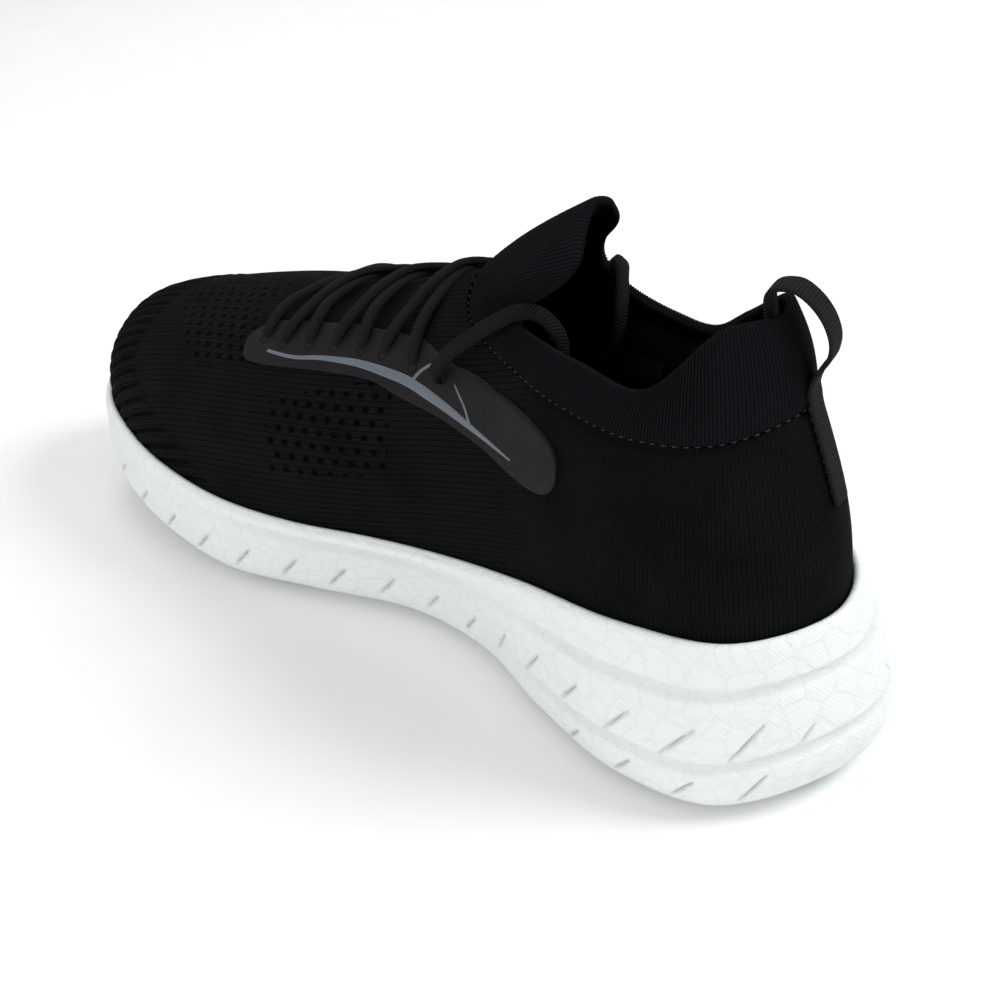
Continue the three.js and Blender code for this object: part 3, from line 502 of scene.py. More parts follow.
# %% Rounded ribs
ribs, gi, go = shader_group("ribs", [("Across", 0), ("Pitch", 1.2)], ["Height", "Groove"])
part = math_node(ribs, "FRACT", math_node(ribs, "DIVIDE", gi["Across"], gi["Pitch"]))
rounded = math_node(ribs, "SINE", math_node(ribs, "MULTIPLY", part, math.pi))
ribs.links.new(math_node(ribs, "POWER", rounded, 0.6), go["Height"])
# The Groove mask marks the grooves between ribs; finishes paint shade there with it.
ribs.links.new(soft_step(ribs, rounded, 0.05, 0.5, 1.0, 0.0), go["Groove"])

# %% Fibre fuzz
fuzz, gi, go = shader_group("fibre_fuzz", [("Scale", 2200), ("Patch Scale", 60)], ["Height", "Patch"])
spots = place_node(fuzz, "ShaderNodeTexCoord").outputs["Object"]
grain = place_node(fuzz, "ShaderNodeTexNoise", Vector=spots, Detail=3.0)
fuzz.links.new(gi["Scale"], grain.inputs["Scale"])
patch = place_node(fuzz, "ShaderNodeTexNoise", Vector=spots, Detail=2.0)
fuzz.links.new(gi["Patch Scale"], patch.inputs["Scale"])
fuzz.links.new(grain.outputs[0], go["Height"])
fuzz.links.new(patch.outputs[0], go["Patch"])
print("shared effects:", [group.name for group in bpy.data.node_groups])

# %% [markdown]
# ## Lace finish
# The lace is a flat polyester braid in a warm near-black. Its strands cross at an angle, so the braid
# group gives the relief, and the gaps between strands are painted darker than their crowns, as painted
# shade.

# %% Braided lace material
lace_finish, tree, shader = new_finish("lace_braid", (0.02, 0.017, 0.016), 0.88, Specular_IOR_Level=0.06)
girth, length = map_parts(tree, "mm")
weave = use_group(tree, braid, Girth=girth, Length=length, Strand=0.95)
fibres = use_group(tree, fuzz)
# painted shade: the gaps between the braid strands are darkened; the fibre patches add uneven tone
shade = math_node(tree, "MULTIPLY", math_node(tree, "SUBTRACT", 1.0, weave["Gap"]),
                  math_node(tree, "ADD", 0.55, fibres["Patch"]), clamp=True)
shade_between(tree, shader, (0.0045, 0.0038, 0.0036), (0.0165, 0.0142, 0.0135), shade)
add_bump(tree, shader, math_node(tree, "ADD", weave["Height"], math_node(
    tree, "MULTIPLY", fibres["Height"], 0.4)), 0.35)

# %% [markdown]
# ## Loose lace ends
# Each lace end leaves the top eyelet, lies over the collar beside the tongue and is tucked inside the
# shoe, where it rests folded on the sockliner. The routes repeat the ones of the fixed frame. A limp
# flat cord turns its wide side to whatever it lies on, so its facing is the upper's at first and
# straight up at the end.

# %% Eyelets, from front to back, in the side view
EYELETS = [[188, 77.3], [179, 78.6], [168, 81], [157.5, 83.2], [146, 85.6], [136.5, 87.2],
           [123.5, 88], [111.5, 89]]
LACE_WIDTH, LACE_THICKNESS = 4.2, 2.0
eyelet_spots = {side: [side_spot(side, eyelet) for eyelet in EYELETS] for side in (MEDIAL, LATERAL)}


def eyelet_point(side, row, stand_off):
    return on_upper(*eyelet_spots[side][row], stand_off)


# %% Routes of the two ends
TAIL_START = 1.7
TAIL_POINTS = {
    MEDIAL: [
        [110, 28.8, 93.5], [105.5, 28, 98.5], [100, 26, 103], [94, 23, 107.5], [88.5, 19.3, 110.5],
        [85, 15.6, 109.1], [82, 13.2, 103.5], [82.8, 12.4, 96.5], [87.5, 13.2, 88], [94.5, 15.6, 79],
        [102.5, 18.6, 69.5], [111.5, 21.4, 59.5], [122, 23.6, 49.5], [136, 25, 41], [152, 25.6, 36],
        [168, 26, 34.4], [190, 26, 33.8], [212, 25.5, 34], [224, 23, 34.2], [228.5, 17.5, 34.4],
        [224, 12, 34.2], [212, 9.5, 34], [196, 9, 33.8]],
    LATERAL: [
        [110, -28.5, 91.5], [105.8, -28.5, 96], [101.3, -27, 99.8], [97, -24.8, 103.4],
        [92.8, -21.8, 106], [88.6, -17, 105.6], [85.8, -13.2, 100.4], [87, -12.4, 92.4],
        [92.2, -13.4, 83.5], [99, -14.8, 75], [107.5, -17.6, 65.6], [116.5, -20.6, 56],
        [126, -23, 47.2], [138.5, -24.6, 40], [152, -25.6, 36], [168, -26, 34.4], [190, -26, 33.8],
        [212, -25.5, 34], [224, -23, 34.2], [228.5, -17.5, 34.4], [224, -12, 34.2], [212, -9.5, 34],
        [196, -9, 33.8]]}


def tail_path(side):
    first = [eyelet_point(side, 7, TAIL_START + 0.3), eyelet_point(side, 7, TAIL_START + 1.8)]
    return even_path(first + TAIL_POINTS[side], 220)


def tail_facing(side, path):
    ahead = np.gradient(path, axis=0)
    ahead /= np.linalg.norm(ahead, axis=-1, keepdims=True)
    carried = [upper_normal(*eyelet_spots[side][7])]
    for step in ahead:
        turned = carried[-1] - step * np.dot(carried[-1], step)
        carried.append(turned / np.linalg.norm(turned))
    share = np.linspace(0, 1, len(path))[:, None]
    facing = blend(np.array(carried[1:]), np.array([0.0, 0.0, 1.0]), smooth(share, 0.4, 0.56))
    return facing / np.linalg.norm(facing, axis=-1, keepdims=True)


# %% Build the ends with their tips
aglet_finish, tree, shader = new_finish("aglet_film", (0.014, 0.013, 0.013), 0.28, Coat_Weight=0.4)
coords = place_node(tree, "ShaderNodeTexCoord").outputs["Object"]
wrap_noise = place_node(tree, "ShaderNodeTexNoise", Vector=coords, Scale=900.0, Detail=2.0).outputs[0]
tree.links.new(soft_step(tree, wrap_noise, 0.3, 0.7, 0.22, 0.42), shader.inputs["Roughness"])
add_bump(tree, shader, wrap_noise, 0.05)

AGLET_LENGTH = 20.0
for side, name in ((MEDIAL, "medial"), (LATERAL, "lateral")):
    path = tail_path(side)
    tail = flat_cord(f"lace_end_{name}", path, tail_facing(side, path), LACE_WIDTH, LACE_THICKNESS,
                     lace_finish)
    ahead = (path[-1] - path[-4]) / np.linalg.norm(path[-1] - path[-4])
    reach = np.linspace(0, AGLET_LENGTH, 40)
    tip_path = path[-1] + ahead * (0.3 + reach)[:, None]
    pinch = 1 - 0.06 * np.sin(reach * 1.9) ** 8 - 0.5 * smooth(reach, 18.2, 20.2)
    tip = flat_cord(f"lace_tip_{name}", tip_path, np.broadcast_to([0.0, 0.0, 1.0], tip_path.shape), 2.6, 2.4,
                    aglet_finish, taper=pinch, power=1.0)
    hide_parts(f"lace_tail_{name}")
    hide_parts(f"aglet_{name}")
    spine = in_frame(path[::6])

# %% [markdown]
# ## The foam sole
# The midsole is one moulded block of foam, wide and rounded under the heel and thin at the toes. Its
# wall carries short slanted cuts and two long grooves that let the foam flex, and its top edge is a
# lip that holds the foot of the knit. The wall is lofted through the same rings as the fixed frame,
# with columns under a millimetre apart, so that cuts and grooves are real hollows in the mesh.

# %% Rings of the sole, from the tread edge up over the lip
SOLE_COLUMNS = 960
sole_dense = np.linspace(0, 1, 4001)
rim_dense = plan(SOLE_RIM, sole_dense)
rim_length = lengths_along(rim_dense)
RIM_TOTAL = rim_length[-1]
heel_at = np.interp(0.5, sole_dense, rim_length)
closeness = 1 + 0.55 * (1 - smooth(np.abs(rim_length - heel_at), 95, 130))
column_count = np.concatenate([[0], np.cumsum((closeness[1:] + closeness[:-1]) / 2 * np.diff(rim_length))])
even_columns = np.linspace(0, column_count[-1], SOLE_COLUMNS, endpoint=False)
sole_share = np.interp(even_columns, column_count, sole_dense)
from_heel = np.interp(sole_share, sole_dense, rim_length) - heel_at


def rise_above_floor(share, height):
    low, high = np.zeros_like(share), np.ones_like(share)
    foot = upper_point(share, low)[..., 2]
    for _ in range(24):
        middle = (low + high) / 2
        under = upper_point(share, middle)[..., 2] - foot < height
        low, high = np.where(under, middle, low), np.where(under, high, middle)
    return low


def sole_ring(mix, swell, part=None, lift=0.0):
    point = blend(plan(SOLE_RIM, sole_share), plan(UPPER_FOOT, sole_share), mix)
    point = point + outward(lambda s: plan(SOLE_RIM, s), sole_share) * swell
    base = floor_height(point[..., 0]) + SOLE_LIFT
    point[..., 2] = base + lift if part is None else blend(base, lip_height(point[..., 0]), part)
    return point


def lip_ring(clear, height):
    point = upper_point(sole_share, rise_above_floor(sole_share, max(height, 0.0)))
    point = point + outward(foot_point, sole_share) * clear
    point[..., 2] = lip_height(point[..., 0]) - CUP_DEPTH + height
    return point


wall_rings = np.stack([
    sole_ring(0, -6.0), sole_ring(0, -2.3, lift=0.9), sole_ring(0, 0.0, 0.16), sole_ring(0.15, 0.6, 0.4),
    sole_ring(0.45, 1.2, 0.66), lip_ring(3.2, 5), lip_ring(2.0, 7.7), lip_ring(0.8, 8.0),
    lip_ring(0.15, 6.8), lip_ring(0.3, 2.5)])


def along_rings(rings, spots):
    return np.stack([through(*[rings[np.clip(int(s) + k, 0, len(rings) - 1)] for k in (-1, 0, 1, 2)],
                             s - int(s)) for s in spots])


WALL_SPOTS = np.concatenate([np.linspace(0, 1, 5)[:-1], np.linspace(1, 5, 76)[:-1],
                             np.linspace(5, 8.999, 16)])
sole_wall = along_rings(wall_rings, WALL_SPOTS)
print("sole wall", sole_wall.shape, "round", round(RIM_TOTAL), "mm")

# %% [markdown]
# ### Cuts and grooves
# Each cut is described on the unrolled wall: where its middle is along the rim, counted from the back
# of the heel, and how high it sits between tread and lip. The distance from a point of the wall to the
# cut's middle line decides how deep the point is pressed in. Both sides of the sole carry the pattern.

# %% Press slanted cuts and long grooves into the wall
UPPER_ROW, LOWER_ROW, FRONT_ROW = 0.44, 0.14, 0.30
CUT_DEPTH, CUT_HALF_WIDTH = 1.6, 0.62
GROOVES = (0.72, 0.30)


def slanted_cuts(side, height, part, row, first, pitch, half_length):
    local = side - first
    local = local - np.round(local / pitch) * pitch
    lift = (part - row) * height
    along = (lift - local) * 0.707
    off = (lift + local) * 0.707
    taper = np.sqrt(np.clip(1 - (along / half_length) ** 2, 0, 1))
    return smooth(CUT_HALF_WIDTH * taper - np.abs(off), -0.05, 0.75) * smooth(taper, 0.0, 0.3)


def wall_detail(rim, height, part):
    side = np.abs(rim)
    forward = smooth(side, 95, 140)
    long_row = slanted_cuts(side, height, part, blend(UPPER_ROW, FRONT_ROW, forward), 32.0, 17.0,
                            blend(6.8, 6.4, forward)) * smooth(side, 12, 20) * (1 - smooth(side, 290, 305))
    short_row = slanted_cuts(side, height, part, LOWER_ROW, 30.5, 17.5, 5.2) * smooth(side, 12, 20) * (
        1 - smooth(side, 90, 98))
    cuts = np.maximum(long_row, short_row)
    grooves = np.zeros_like(side)
    for row in GROOVES:
        level = np.abs((part - row) * height)
        grooves = np.maximum(grooves, smooth(2.3 - level, 0, 1.5) * (1 - smooth(side, 88, 125)))
    swell = np.sin(np.pi * np.clip((part - GROOVES[1]) / (GROOVES[0] - GROOVES[1]), 0, 1)) * (
        1 - smooth(side, 88, 125))
    depth = np.maximum(cuts * CUT_DEPTH, grooves * 0.75) - swell * 0.35
    return depth, np.maximum(cuts, grooves * 0.22)


wall_rim = np.broadcast_to(from_heel, sole_wall.shape[:2])
wall_base = floor_height(sole_wall[..., 0]) + SOLE_LIFT
wall_tall = lip_height(sole_wall[..., 0]) - wall_base
wall_part = (sole_wall[..., 2] - wall_base) / wall_tall
on_wall = smooth(WALL_SPOTS, 0.6, 1.4)[:, None] * (1 - smooth(WALL_SPOTS, 5.0, 5.6)[:, None])
detail, shading = wall_detail(wall_rim, wall_tall, wall_part)
sole_out = outward(lambda s: plan(SOLE_RIM, s), sole_share)
sole_wall = sole_wall - sole_out[None] * (detail * on_wall)[..., None]
print("deepest cut", round(float((detail * on_wall).max()), 2), "mm")

# %% [markdown]
# ### Foam finish
# Beaded foam keeps a faint net of cell outlines where the beads fused in the mould, under a fine
# pebbled skin. A three-dimensional cell pattern needs no unwrapping and runs on round every corner.
# The hollows are a little darker and cooler, as white foam is where less light reaches.

# %% Foam material
foam_finish, tree, shader = new_finish("beaded_foam", (0.8, 0.82, 0.8), 0.62, Subsurface_Weight=0.05,
                                       Subsurface_Scale=0.004)
coords = place_node(tree, "ShaderNodeTexCoord").outputs["Object"]
warp = place_node(tree, "ShaderNodeTexNoise", Vector=coords, Scale=120.0, Detail=1.0)
moved = place_node(tree, "ShaderNodeVectorMath", {"operation": "MULTIPLY_ADD"}, i0=warp.outputs["Color"],
                   i1=(0.0015, 0.0015, 0.0015), i2=coords).outputs[0]
cells = place_node(tree, "ShaderNodeTexVoronoi", {"feature": "DISTANCE_TO_EDGE"}, Vector=moved, Scale=150.0)
cell_line = soft_step(tree, cells.outputs["Distance"], 0.0, 0.12)
round_wall, up_wall = map_parts(tree, "wall")
skin = use_group(tree, braid, Girth=round_wall, Length=up_wall, Strand=1.5)
hollow = mask_of(tree, "hollow")
tint = math_node(tree, "MULTIPLY", math_node(tree, "SUBTRACT", 1.0, math_node(tree, "MULTIPLY", hollow, 0.8)),
                 math_node(tree, "ADD", 0.94, math_node(tree, "MULTIPLY", cell_line, 0.06)), clamp=True)
shade_between(tree, shader, (0.30, 0.37, 0.34), (0.76, 0.80, 0.78), tint)
height = math_node(tree, "ADD", math_node(tree, "MULTIPLY", cell_line, 0.55), math_node(
    tree, "MULTIPLY", skin["Height"], 0.45))
add_bump(tree, shader, height, 0.28, 0.7)

# %% Build the sole wall and close it underneath
underside = []
spine_x = np.clip(wall_rings[0][:, 0], 42, 262)
spine = np.stack([spine_x, closed_line(SOLE_RIM, 0.5)[1] * 0 + blend(2.0, -2.0, smooth(spine_x, 120, 220)),
                  np.zeros_like(spine_x)], axis=-1)
for part in np.linspace(0, 1, 14)[:-1][::-1]:
    ring = blend(sole_ring(0, -6.0), spine, part)
    ring[..., 2] = floor_height(ring[..., 0]) + SOLE_LIFT - 0.35 * math.sin(math.pi * part) ** 2
    underside.append(ring)
underside = [blend(underside[0], spine, 1.0)] + underside
underside[0][..., 2] = floor_height(spine_x) + SOLE_LIFT
sole_grid = np.concatenate([np.stack(underside[:-1]), sole_wall])
hollow = np.concatenate([np.zeros((len(underside) - 1, SOLE_COLUMNS)), shading * on_wall])
wide = lambda table: np.concatenate([table, table[:, :1]], axis=1)
rim_mm = np.append(from_heel, RIM_TOTAL - heel_at)
wall_mm = np.stack([np.broadcast_to(rim_mm, (len(sole_grid), SOLE_COLUMNS + 1)),
                    wide(lengths_along(sole_grid))], axis=-1)
sole = grid_piece("foam_sole", sole_grid, foam_finish, wraps=True, mm={"wall": wall_mm},
                  masks={"hollow": hollow.ravel()}, flip=True)
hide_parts("midsole")

# %% [markdown]
# ## The knit upper
# The upper is one knitted sock. Wide ribs stiffen it over the toes, small holes in staggered rows let
# air in at the front and along both sides, and the heel is a closer knit. The ribs are pressed into a
# dense mesh. The holes and the loops, barely a millimetre wide, come from the finish alone.

# %% Where on the knit each point lies
KNIT_COLUMNS, KNIT_ROWS = 640, 130
knit_share = np.interp(np.linspace(0, RIM_TOTAL, KNIT_COLUMNS, endpoint=False), rim_length, sole_dense)
KNIT_TOP = 0.995
knit_rise = np.linspace(0.0, KNIT_TOP, KNIT_ROWS)
shares, rises = np.meshgrid(knit_share, knit_rise)
knit = upper_point(shares, rises)
knit_normal = upper_normal(shares, rises)
ridge_line = np.concatenate([upper_point(0.0, np.linspace(0, 1, 200)), [[60.0, 0.0, 126.0]]])
ridge_z = np.interp(knit[..., 0], ridge_line[::-1, 0], ridge_line[::-1, 2])
ridge_y = np.interp(knit[..., 0], ridge_line[::-1, 0], ridge_line[::-1, 1])
across_knit = np.hypot(knit[..., 1] - ridge_y, np.maximum(ridge_z - knit[..., 2], 0)) * np.sign(
    knit[..., 1] - ridge_y)
up_knit = lengths_along(knit)
round_knit = np.broadcast_to(lengths_along(
    np.concatenate([knit[40], knit[40, :1]]))[None], (KNIT_ROWS, KNIT_COLUMNS + 1))
print("knit points", knit.shape[0] * knit.shape[1])


# %% Zones of the knit, as soft masks
def inside_outline(x, y, outline):
    inside = np.zeros(x.shape, bool)
    for (x0, y0), (x1, y1) in zip(outline, outline[1:] + outline[:1]):
        crosses = (y0 > y) != (y1 > y)
        at = x0 + (x1 - x0) * (y - y0) / (y1 - y0 + 1e-9)
        inside ^= crosses & (x < at)
    return inside


TOE_RIB_PITCH = 4.0
toe_back = 254 - 58 * smooth(np.abs(across_knit), 28, 76)
toe_zone = smooth(knit[..., 0], toe_back - 4, toe_back + 3)
SIDE_HOLES = [[176, 41.5], [173, 59.5], [130, 56.5], [129, 33.5], [150, 35.5]]
TOP_HOLES = [[248.5, -2], [248.5, 9], [228.5, 26], [212.5, 35], [188.5, 32], [202.5, 12], [200.5, -2]]
side_zone = inside_outline(knit[..., 0], np.abs(across_knit), SIDE_HOLES)
top_zone = inside_outline(knit[..., 0], np.abs(across_knit), TOP_HOLES)
hole_zone = (side_zone | top_zone).astype(float)
heel_zone = 1 - smooth(knit[..., 0], 60, 95)

# %% How deep the laces press the knit and its lining
LACE_DIP = 2.2


def under_laces(points):
    laced = smooth(points[..., 0], 124, 138) * (1 - smooth(points[..., 0], 188, 204))
    return LACE_DIP * laced * (1 - smooth(np.abs(points[..., 1]), 8, 20)) * (points[..., 2] > 60)


# %% Press ribs and soft folds into the knit
rib_wave = np.abs(np.sin(np.pi * across_knit / TOE_RIB_PITCH)) ** 0.6
toe_relief = (rib_wave - 0.6) * 1.6 * toe_zone
# painted shade for the grooves between the toe ribs, read by the knit finish
rib_groove_shade = (1 - rib_wave) * toe_zone
fold_zone = smooth(knit[..., 0], 30, 60) * (1 - smooth(knit[..., 0], 95, 125)) * smooth(rises, 0.45, 0.75)
folds = 0.35 * np.sin(knit[..., 0] * 0.35 + knit[..., 2] * 0.22) * fold_zone
seam_dip = -0.9 * smooth(rises, 0.955, 0.995)
slack = 0.25 * np.sin(knit[..., 0] * 0.09 + 1.2) * np.sin(knit[..., 2] * 0.12)
lace_dip = -under_laces(knit)
knit = knit + knit_normal * (toe_relief + folds + seam_dip + slack + lace_dip)[..., None]

# %% [markdown]
# ### Knit finish
# The loops run lengthwise over the foot, so the finish reads two coordinates: the distance from the
# heel and the distance across from the ridge of the instep. Near the heel it changes to a closer
# stitch that runs round the ankle. Black yarn still has uneven tone from its stray fibres. Its crowns
# stand lighter because painted shade darkens the valleys between the loops, and painted shade also
# darkens the grooves between the toe ribs and the painted holes.

# %% Knit material
knit_finish, tree, shader = new_finish("knit_yarn", (0.012, 0.013, 0.014), 0.9, Specular_IOR_Level=0.03)
along, across = map_parts(tree, "lengthwise")
around, height_up = map_parts(tree, "ankle")
heel = mask_of(tree, "heel_zone")
body_loops = use_group(tree, knit_loops, Along=along, Across=across, Wale=1.45, Course=1.15)
heel_loops = use_group(tree, knit_loops, Along=height_up, Across=around, Wale=1.1, Course=1.1)
fibres = use_group(tree, fuzz)
loops, valley = (place_node(tree, "ShaderNodeMix", i0=heel, i2=body_loops[part],
                            i3=heel_loops[part]).outputs[0] for part in ("Height", "Valley"))

HOLE_PITCH, HOLE_ROW, HOLE_LONG, HOLE_WIDE = 5.4, 3.3, 1.25, 0.85
hole_row = math_node(tree, "DIVIDE", across, HOLE_ROW)
row_index = math_node(tree, "FLOOR", hole_row)
row_shift = math_node(tree, "MULTIPLY", math_node(
    tree, "MODULO", math_node(tree, "ABSOLUTE", row_index), 2.0), 0.5)
hole_x = math_node(tree, "SUBTRACT", math_node(tree, "FRACT", math_node(
    tree, "ADD", math_node(tree, "DIVIDE", along, HOLE_PITCH), row_shift)), 0.5)
hole_y = math_node(tree, "SUBTRACT", math_node(tree, "FRACT", hole_row), 0.5)
reach_x = math_node(tree, "MULTIPLY", hole_x, HOLE_PITCH / HOLE_LONG)
reach_y = math_node(tree, "MULTIPLY", hole_y, HOLE_ROW / HOLE_WIDE)
reach = math_node(tree, "SQRT", math_node(tree, "ADD", math_node(tree, "MULTIPLY", reach_x, reach_x),
                                          math_node(tree, "MULTIPLY", reach_y, reach_y)))
holes = math_node(tree, "MULTIPLY", soft_step(tree, reach, 0.7, 1.15, 1.0, 0.0), mask_of(tree, "hole_zone"))
# painted shade: the valleys between the loops are darkened; the fibre patches add uneven tone
tone = math_node(tree, "MULTIPLY", math_node(
    tree, "SUBTRACT", 1.0, math_node(tree, "MULTIPLY", valley, 0.95)),
                 math_node(tree, "ADD", 0.4, fibres["Patch"]), clamp=True)
# painted shade inside the painted holes: they are darkened
tone = math_node(tree, "MULTIPLY", tone, math_node(tree, "SUBTRACT", 1.0, holes), clamp=True)
# painted shade: the grooves between the toe ribs are darkened
tone = math_node(tree, "MULTIPLY", tone, math_node(tree, "SUBTRACT", 1.0, math_node(
    tree, "MULTIPLY", mask_of(tree, "rib_groove_shade"), 0.85)), clamp=True)
shade_between(tree, shader, (0.0004, 0.0005, 0.0006), (0.0095, 0.0115, 0.0132), tone)
relief = math_node(tree, "ADD", loops, math_node(tree, "MULTIPLY", fibres["Height"], 0.35))
relief = math_node(tree, "SUBTRACT", relief, math_node(tree, "MULTIPLY", holes, 2.2))
add_bump(tree, shader, relief, 1.0)

# %% Build the knit
lengthwise = np.stack([wide(knit[..., 0]), wide(across_knit)], axis=-1)
ankle = np.stack([round_knit, wide(up_knit)], axis=-1)
upper = grid_piece("knit_upper_skin", knit, knit_finish, wraps=True,
                   mm={"lengthwise": lengthwise, "ankle": ankle},
                   masks={"heel_zone": heel_zone.ravel(), "hole_zone": hole_zone.ravel(),
                          "rib_groove_shade": rib_groove_shade.ravel()}, flip=False)
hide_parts("knit_upper")

# %% [markdown]
# ## The sock collar
# Above the seam the sock turns into a thick stretch rib that folds over its own edge and goes on down
# inside. It is drawn as one sheet that rises, rolls over a rounded edge and comes down inside, so the
# edge has real thickness. The ribs are real relief too: they catch the light along the whole edge.
# Painted shade darkens the grooves between the ribs and the whole inner face of the collar.

# %% Section of the collar, from the seam over the edge and down inside
CUFF = 2.6
CUFF_COLUMNS = 1500
cuff_share_even = np.linspace(0, 1, 3001)
edge_length = lengths_along(closed_line(COLLAR_EDGE, cuff_share_even) * 0.6
                            + closed_line(COLLAR_SEAM, cuff_share_even) * 0.4)
even_edge = np.linspace(0, edge_length[-1], CUFF_COLUMNS, endpoint=False)
cuff_share = np.interp(even_edge, edge_length, cuff_share_even)
section = [(rise, 0.0) for rise in np.linspace(1.0, 1.97, 26)]
section += [(1.97 + 0.03 * math.sin(a), CUFF / 2 * (1 - math.cos(a)))
            for a in np.linspace(0.2, math.pi - 0.2, 9)]
section += [(rise, CUFF) for rise in np.linspace(1.96, 1.0, 20)]
section_rise = np.array([rise for rise, _ in section])
section_depth = np.array([depth for _, depth in section])
cuff_shares, cuff_rises = np.meshgrid(cuff_share, section_rise)
cuff_normal = upper_normal(cuff_shares, np.minimum(cuff_rises, 1.96))
cuff = upper_point(cuff_shares, cuff_rises) - cuff_normal * section_depth[:, None, None]
cuff_round = np.interp(cuff_share, cuff_share_even, edge_length)
RIB_PITCH = edge_length[-1] / 300
face_out = np.gradient(cuff, axis=0)
face_out = np.cross(np.roll(cuff, -1, axis=1) - np.roll(cuff, 1, axis=1), face_out)
face_out /= np.linalg.norm(face_out, axis=-1, keepdims=True) + 1e-12
cuff_ribs = np.abs(np.sin(np.pi * cuff_round / RIB_PITCH)) ** 0.7
seam_tuck = smooth(section_rise, 1.0, 1.06)[:, None]
cuff = cuff + face_out * ((cuff_ribs[None] * 0.42 - 0.25) * seam_tuck - 0.7 * (1 - seam_tuck))[..., None]
print("collar edge is", round(float(edge_length[-1])), "mm round with ribs every", round(RIB_PITCH, 2), "mm")

# %% Rib knit material
rib_finish, tree, shader = new_finish("rib_yarn", (0.014, 0.015, 0.017), 0.9, Specular_IOR_Level=0.03)
around, length = map_parts(tree, "mm")
rib_loops = use_group(tree, knit_loops, Along=length, Across=around, Wale=float(RIB_PITCH), Course=0.95)
rib_lines = use_group(tree, ribs, Across=around, Pitch=float(RIB_PITCH))
fibres = use_group(tree, fuzz)
# painted shade: the grooves between the ribs are darkened; the fibre patches add uneven tone
tone = math_node(tree, "MULTIPLY", math_node(tree, "SUBTRACT", 1.0, math_node(
    tree, "MULTIPLY", rib_lines["Groove"], 0.7)), math_node(tree, "ADD", 0.5, fibres["Patch"]), clamp=True)
# painted shade: the inner face of the collar is darkened, as little light reaches inside
tone = math_node(tree, "MULTIPLY", tone, math_node(tree, "SUBTRACT", 1.0, math_node(
    tree, "MULTIPLY", mask_of(tree, "inner_face_shade"), 0.92)), clamp=True)
shade_between(tree, shader, (0.0007, 0.0009, 0.001), (0.0085, 0.0102, 0.012), tone)
add_bump(tree, shader, math_node(tree, "ADD", rib_loops["Height"], math_node(
    tree, "MULTIPLY", fibres["Height"], 0.4)), 0.3)

# %% Build the collar
cuff_down = lengths_along(cuff)[:, :1]
cuff_mm = np.stack(np.broadcast_arrays(np.append(cuff_round, edge_length[-1])[None],
                                       np.broadcast_to(cuff_down, (len(section), 1))), axis=-1)
# mask of painted shade over the inner face of the collar
inner_face_shade = np.repeat(smooth(section_depth, CUFF * 0.6, CUFF * 0.95), CUFF_COLUMNS)
collar = grid_piece("sock_collar", cuff, rib_finish, wraps=True, mm={"mm": cuff_mm},
                    masks={"inner_face_shade": inner_face_shade})
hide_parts("collar_cuff")

# %% [markdown]
# ## Inside the shoe
# Looking down through the collar one sees a soft mesh lining over heel padding, and the sockliner
# that the foot stands on. The lining swells where foam lies behind it beside the ankle bones. A small
# plain patch, blue-grey, is fixed to the outer side wall where a size label would be.

# %% Lining material
lining_finish, tree, shader = new_finish("lining_mesh", (0.004, 0.004, 0.004), 0.95, Specular_IOR_Level=0.1)
along, across = map_parts(tree, "mm")
net = use_group(tree, braid, Girth=across, Length=along, Strand=1.6)
fibres = use_group(tree, fuzz)
# painted shade: the gaps of the mesh are darkened; the fibre patches add uneven tone
tone = math_node(tree, "MULTIPLY", math_node(tree, "SUBTRACT", 1.0, net["Gap"]),
                 math_node(tree, "ADD", 0.5, fibres["Patch"]), clamp=True)
shade_between(tree, shader, (0.0004, 0.0004, 0.0005), (0.0028, 0.0028, 0.0032), tone)
add_bump(tree, shader, net["Height"], 0.25)

# %% Lining all round, swollen over the ankle padding
LINING_COLUMNS, LINING_ROWS = 320, 60
lining_share = np.linspace(0, 1, LINING_COLUMNS, endpoint=False)
lining_rise = np.linspace(0.09, 1.04, LINING_ROWS)
shares, rises = np.meshgrid(lining_share, lining_rise)
backness = smooth(np.minimum(shares, 1 - shares), 0.26, 0.33)
pad = smooth(rises, 0.45, 0.62) * (1 - smooth(rises, 0.9, 1.02))
ankle_swell = np.exp(-((np.minimum(shares, 1 - shares) - 0.41) / 0.06) ** 2) * pad
depth = 2.4 + backness * (3.3 * (1 - smooth(rises, 0.96, 1.04)) + 2.2 * pad) + 1.6 * ankle_swell
depth = np.where(rises > 1.0, CUFF + 0.1, depth)
depth = depth + under_laces(upper_point(shares, rises)) * 1.2
lining = on_upper(shares, rises, -depth)
lining_mm = np.stack([wide(lengths_along(lining)), np.broadcast_to(lengths_along(np.concatenate(
    [lining[30], lining[30, :1]]))[None], (LINING_ROWS, LINING_COLUMNS + 1))], axis=-1)
inner = grid_piece("heel_lining_cloth", lining, lining_finish, wraps=True, mm={"mm": lining_mm}, flip=True)
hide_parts("heel_lining")

# %% Sockliner with a raised, rounded rim
liner_share = np.linspace(0, 1, 240, endpoint=False)
liner_foot = plan(UPPER_FOOT, liner_share)
liner_out = outward(foot_point, liner_share)
liner_spine = np.stack([np.clip(liner_foot[:, 0], 45, 250), np.full(len(liner_foot), -0.5),
                        np.zeros(len(liner_foot))], axis=-1)
rows = []
for inset, lift in ((8.0, 2.4), (7.2, 2.6), (7.0, 4.4), (7.4, 5.7), (8.4, 6.3), (10.0, 6.3), (14.0, 6.0)):
    ring = liner_foot - liner_out * inset
    ring[..., 2] = lip_height(liner_foot[..., 0]) - CUP_DEPTH + lift
    rows.append(ring)
for part in np.linspace(0.12, 1, 10):
    ring = blend(rows[6], liner_spine, part)
    ring[..., 2] = lip_height(ring[..., 0]) - CUP_DEPTH + 6.0 + 0.2 * part
    rows.append(ring)
